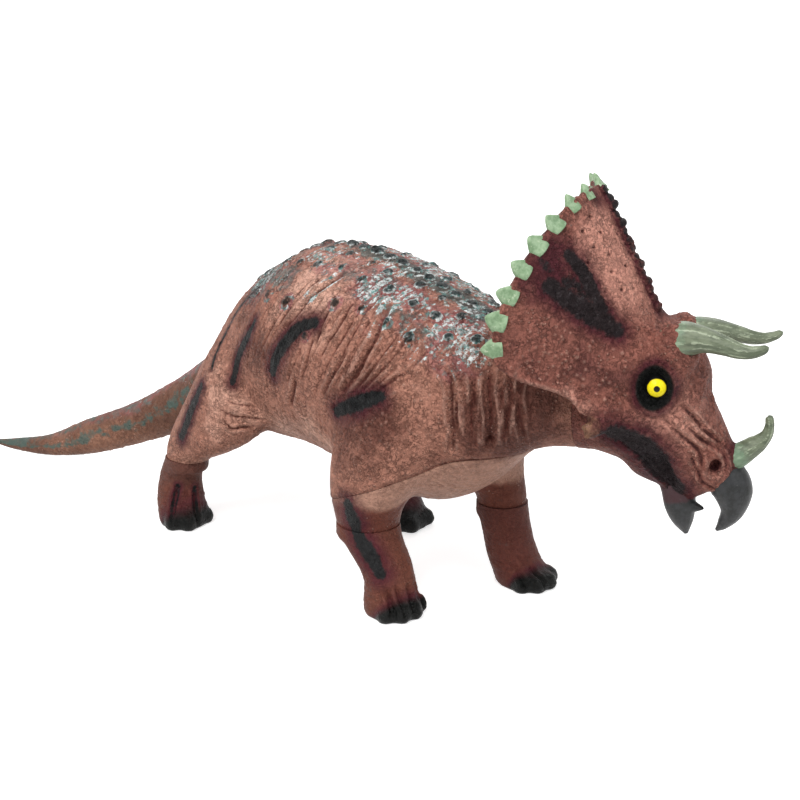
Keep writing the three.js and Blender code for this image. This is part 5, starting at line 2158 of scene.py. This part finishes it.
    def leaf(self, name: str, spot: Array, out: Array, along: Array, number: int) -> Skin:
        """Return one scallop.

        Args:
            name: Name of its skin.
            spot: Place on the frill's edge.
            out: Unit vector away from the frill.
            along: Unit vector along the edge.
            number: Picks small differences between scallops.

        Returns:
            A rounded triangle with a raised rim, open at both ends.
        """
        t = np.linspace(0.0, 1.0, 26)
        top = math.exp(-(((number - (self.tab_count - 1) / 2) / 2.6) ** 2))
        lean = 0.16 * math.sin(2.3 * number)
        half = 0.5 * self.tab_length * (1 + 0.07 * math.sin(1.7 * number)) * (1 - 0.3 * top)
        reach = 10.8 - 2.0 * top
        belly = 0.9 + 0.2 * np.sin(np.pi * np.clip(t * 1.3, 0, 1))
        width = half * np.clip(1 - t**2.4, 0, 1) ** (0.6 + 0.3 * top) * belly
        width[-1] = 0.25
        thick = 3.6 * (1 - 0.6 * t) * (1 - t**8) + 0.12
        centres = spot + out * (t[:, None] * reach - 4.6) + along * (lean * half * t**2)[:, None]
        normal = np.cross(out, along)
        grid = ring_grid(
            centres, np.tile(along, (26, 1)), np.tile(normal, (26, 1)), width, thick, 40)
        angle = np.arange(40) * 2 * np.pi / 40
        dish = 1.0 - 0.3 * np.abs(np.sin(angle)) ** 4
        lift = (grid - centres[:, None, :]) @ normal
        share = np.sin(np.pi * np.clip(t * 1.05 - 0.05, 0, 1))[:, None]
        grid = grid + ((dish - 1)[None, :] * share * lift)[:, :, None] * normal
        skin = grid_skin(name, grid)
        skin.push((cloud(skin.points, 2.2, number, 2) - 0.5) * 0.4)
        skin.aim()
        skin.settle(6, 0.4)
        return skin

    def eyes(self, finishes: Finishes) -> list[Object]:
        """Make both eyeballs with their painted irises.

        Args:
            finishes: The materials.

        Returns:
            The two eyes.
        """
        made = []
        for node, flank in (("right_eye", -1), ("left_eye", 1)):
            centre = head_share(self.eye_share, flank)
            shape = bmesh.new()
            bmesh.ops.create_icosphere(shape, subdivisions=6, radius=self.eye_radius * MM)
            gaze = unit(flank * LEFTWARD + 0.22 * AHEAD + 0.05 * UPWARD)
            turn = Vector((0, 0, 1)).rotation_difference(Vector(gaze)).to_matrix().to_4x4()
            layer = shape.verts.layers.float.new(Paint.RISE.value)
            for vert in shape.verts:
                far = math.acos(max(-1.0, min(1.0, vert.co.z / (self.eye_radius * MM))))
                vert[layer] = min(far / 1.2, 1.0)
                cornea = 0.45 * math.exp(-((far / 0.45) ** 2)) * MM
                vert.co += vert.co.normalized() * cornea
            matrix = Matrix.Translation(Vector(centre) * MM) @ turn
            bmesh.ops.transform(shape, matrix=matrix, verts=shape.verts)
            name = node + "_ball"
            piece = to_object(name, to_mesh(shape, name), finishes[Finish.EYE])
            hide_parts(node)
            made.append(piece)
        return made


@dataclass(frozen=True)
class EyePaint:
    """Glossy eye: a yellow iris with a dark ring and pupil on a black ball."""

    name: str = "painted_eye"
    yellow: str = "#f4e416"
    amber: str = "#c9ae0c"
    black: str = "#0b0b0c"
    pupil: float = 0.2
    iris: float = 0.68

    def build(self, effects: Effects) -> Material:
        """Build the material.

        Args:
            effects: The shared node groups; not used here.

        Returns:
            The material.
        """
        made, g = new_material(self.name)
        where = g.node("TexCoord").outputs["Object"]
        wobble = g.math("MULTIPLY_ADD", g.noise(where, 500.0, 2.0), 0.06, -0.03)
        far = g.math("ADD", g.value(Paint.RISE), wobble)
        fibre = g.step(g.noise(where, 1400.0, 3.0, 0.7), 0.35, 0.7)
        tone = g.blend(g.math("MULTIPLY", fibre, 0.5), tint(self.yellow), tint(self.amber))
        ring = g.step(far, self.iris - 0.12, self.iris - 0.02, 0.0, 0.6)
        tone = g.blend(ring, tone, tint(self.amber))
        tone = g.blend(g.step(far, self.iris - 0.01, self.iris + 0.03), tone, tint(self.black))
        tone = g.blend(g.step(far, self.pupil + 0.02, self.pupil - 0.02), tone, tint(self.black))
        g.finish(
            Base_Color=tone, Roughness=0.3, Specular_IOR_Level=0.15, Coat_Weight=0.04,
            Coat_Roughness=0.05,
        )
        return made


def make_finishes() -> Finishes:
    """Build every material of the figure.

    Returns:
        The materials by finish.
    """
    effects = Effects()
    paints = {
        Finish.BODY: SkinPaint("terracotta_vinyl", "#e4b39f", "#b07c6a", "#6d453b"),
        Finish.CHEST: SkinPaint(
            "tan_vinyl", "#d8ad9b", "#b48a78", "#805d50", bump=0.7, wrinkles=0.25, roughness=0.45),
        Finish.HEAD: SkinPaint(
            "red_brown_vinyl", "#cf9382", "#915c50", "#5d3433", crease="#3f1f21", ink="#1c181a",
            ink_streak_glint="#6c6669", limb="#b8906f"),
        Finish.TAIL: SkinPaint(
            "mottled_vinyl", "#a0745f", "#755344", "#503a33", bump=0.6, wash="#48645f"),
        Finish.LEG: SkinPaint(
            "brown_vinyl", "#c49a89", "#9a6f62", "#633f36", raised="#8f6555", bump=0.6, limb="#683d31",
            ink_streak_glint="#353e3d"),
        Finish.HORN: HornPaint(
            "sage_horn", "#747d67", "#535c4a", "#a9b39b", stretch=(0.35, 0.35, 1.0), wear=0.42),
        Finish.SCALLOP: HornPaint("mint_scallop", "#8fa787", "#688462", "#c0cbb0", wear=0.4),
        Finish.BEAK: HornPaint(
            "charcoal_beak", "#2a2b2d", "#181919", "#4e504f", roughness=0.4, wear=0.34, foot="#43161f"),
        Finish.EYE: EyePaint(),
    }
    return {finish: paint.build(effects) for finish, paint in paints.items()}


WHITE = (1.0, 1.0, 1.0, 1.0)


@dataclass(frozen=True)
class Studio:
    """A pale floor, soft lamps and the camera."""

    target: Point = (-1.243, -9.197, 85.0)
    azimuth: float = 51.0
    elevation: float = 18.0
    distance: float = 1.2
    lens: float = 93.6
    shift: float = 0.06875
    ambient: float = 0.57
    key: float = 19.3
    fill: float = 6.0

    def build(self) -> None:
        """Set up the stage."""
        scene = bpy.context.scene
        scene.view_settings.view_transform = "Standard"
        self.floor()
        self.world()
        self.lamp("key", (20.0, 52.0), 1.5, 0.9, self.key, (1.0, 0.985, 0.96))
        self.lamp("fill", (95.0, 28.0), 1.6, 1.1, self.fill, (0.96, 0.98, 1.0))
        self.lamp("back", (215.0, 40.0), 1.6, 0.9, self.fill, (1.0, 1.0, 1.0))
        camera = bpy.data.objects.new("camera", bpy.data.cameras.new("camera"))
        camera.data.lens = self.lens
        camera.data.shift_x = self.shift
        camera.data.clip_start = 0.05
        back = self.heading(self.azimuth, self.elevation)
        camera.location = Vector(self.target) * MM + back * self.distance
        camera.rotation_euler = back.to_track_quat("Z", "Y").to_euler()
        scene.collection.objects.link(camera)
        scene.camera = camera

    @staticmethod
    def heading(azimuth: float, elevation: float) -> Vector:
        """Return the direction from the figure towards a viewer."""
        a, e = math.radians(azimuth), math.radians(elevation)
        return Vector((math.sin(a) * math.cos(e), -math.cos(a) * math.cos(e), math.sin(e)))

    def lamp(
        self, name: str, place: tuple[float, float], far: float, size: float, power: float,
        color: Point,
    ) -> None:
        """Hang a square soft lamp.

        Args:
            name: Its name.
            place: Azimuth and elevation in degrees.
            far: Distance from the figure in metres.
            size: Width in metres.
            power: Power in watts.
            color: Its light.
        """
        light = bpy.data.lights.new(name, "AREA")
        light.energy, light.size, light.color = power, size, color
        hung = bpy.data.objects.new(name, light)
        back = self.heading(*place)
        hung.location = Vector(self.target) * MM + back * far
        hung.rotation_euler = back.to_track_quat("Z", "Y").to_euler()
        bpy.context.scene.collection.objects.link(hung)

    @staticmethod
    def direct(g: Graph) -> Socket:
        """Tell the rays that show the backdrop itself.

        Args:
            g: The tree.

        Returns:
            1 for camera, glossy and transmission rays.
        """
        path = g.node("LightPath")
        sharp = g.math("MAXIMUM", path.outputs["Is Glossy Ray"], path.outputs["Is Transmission Ray"])
        return g.math("MAXIMUM", path.outputs["Is Camera Ray"], sharp)

    def floor(self) -> None:
        """Lay the floor, which is brighter to the camera than to the figure."""
        shape = bmesh.new()
        bmesh.ops.create_grid(shape, x_segments=8, y_segments=8, size=4.0)
        mesh = to_mesh(shape, "floor")
        made, g = new_material("pale_floor")
        seen = self.direct(g)
        plain = g.node("BsdfDiffuse", Color=g.blend(seen, tint("#cccac8"), (0.8, 0.8, 0.8, 1.0)))
        glow = g.node("Emission", Color=WHITE, Strength=g.math("MULTIPLY", seen, 0.62))
        both = g.node("AddShader")
        for socket, shader in zip(both.inputs, (plain, glow)):
            g.feed(socket, shader.outputs[0])
        g.node("OutputMaterial", Surface=both.outputs[0])
        mesh.materials.append(made)
        floor = bpy.data.objects.new("floor", mesh)
        bpy.context.scene.collection.objects.link(floor)

    def world(self) -> None:
        """Give plain light from all round, and a white backdrop."""
        world = bpy.data.worlds.new("studio")
        bpy.context.scene.world = world
        world.use_nodes = True
        g = Graph(world.node_tree)
        seen = self.direct(g)
        power = g.math("MULTIPLY_ADD", seen, 1.0 - self.ambient, self.ambient)
        sky = g.node("Background", Color=WHITE, Strength=power)
        g.node("OutputWorld", Surface=sky.outputs[0])


def main() -> None:
    """Build the figure piece by piece and note its size."""
    logging.basicConfig(level=logging.INFO, format="%(name)s %(message)s")
    finishes = make_finishes()
    parts = (
        Torso(), Head(), Tail(),
        Leg(Body.RIGHT_FORE, "right_fore_leg"), Leg(Body.LEFT_FORE, "left_fore_leg"),
        Leg(Body.RIGHT_HIND, "right_hind_leg"), Leg(Body.LEFT_HIND, "left_hind_leg"),
    )
    for part in parts:
        for piece in part.build(finishes):
            LOG.info("%s: %d faces", piece.name, len(piece.data.polygons))
    Studio().build()
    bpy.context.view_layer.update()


if __name__ == "__main__":
    main()
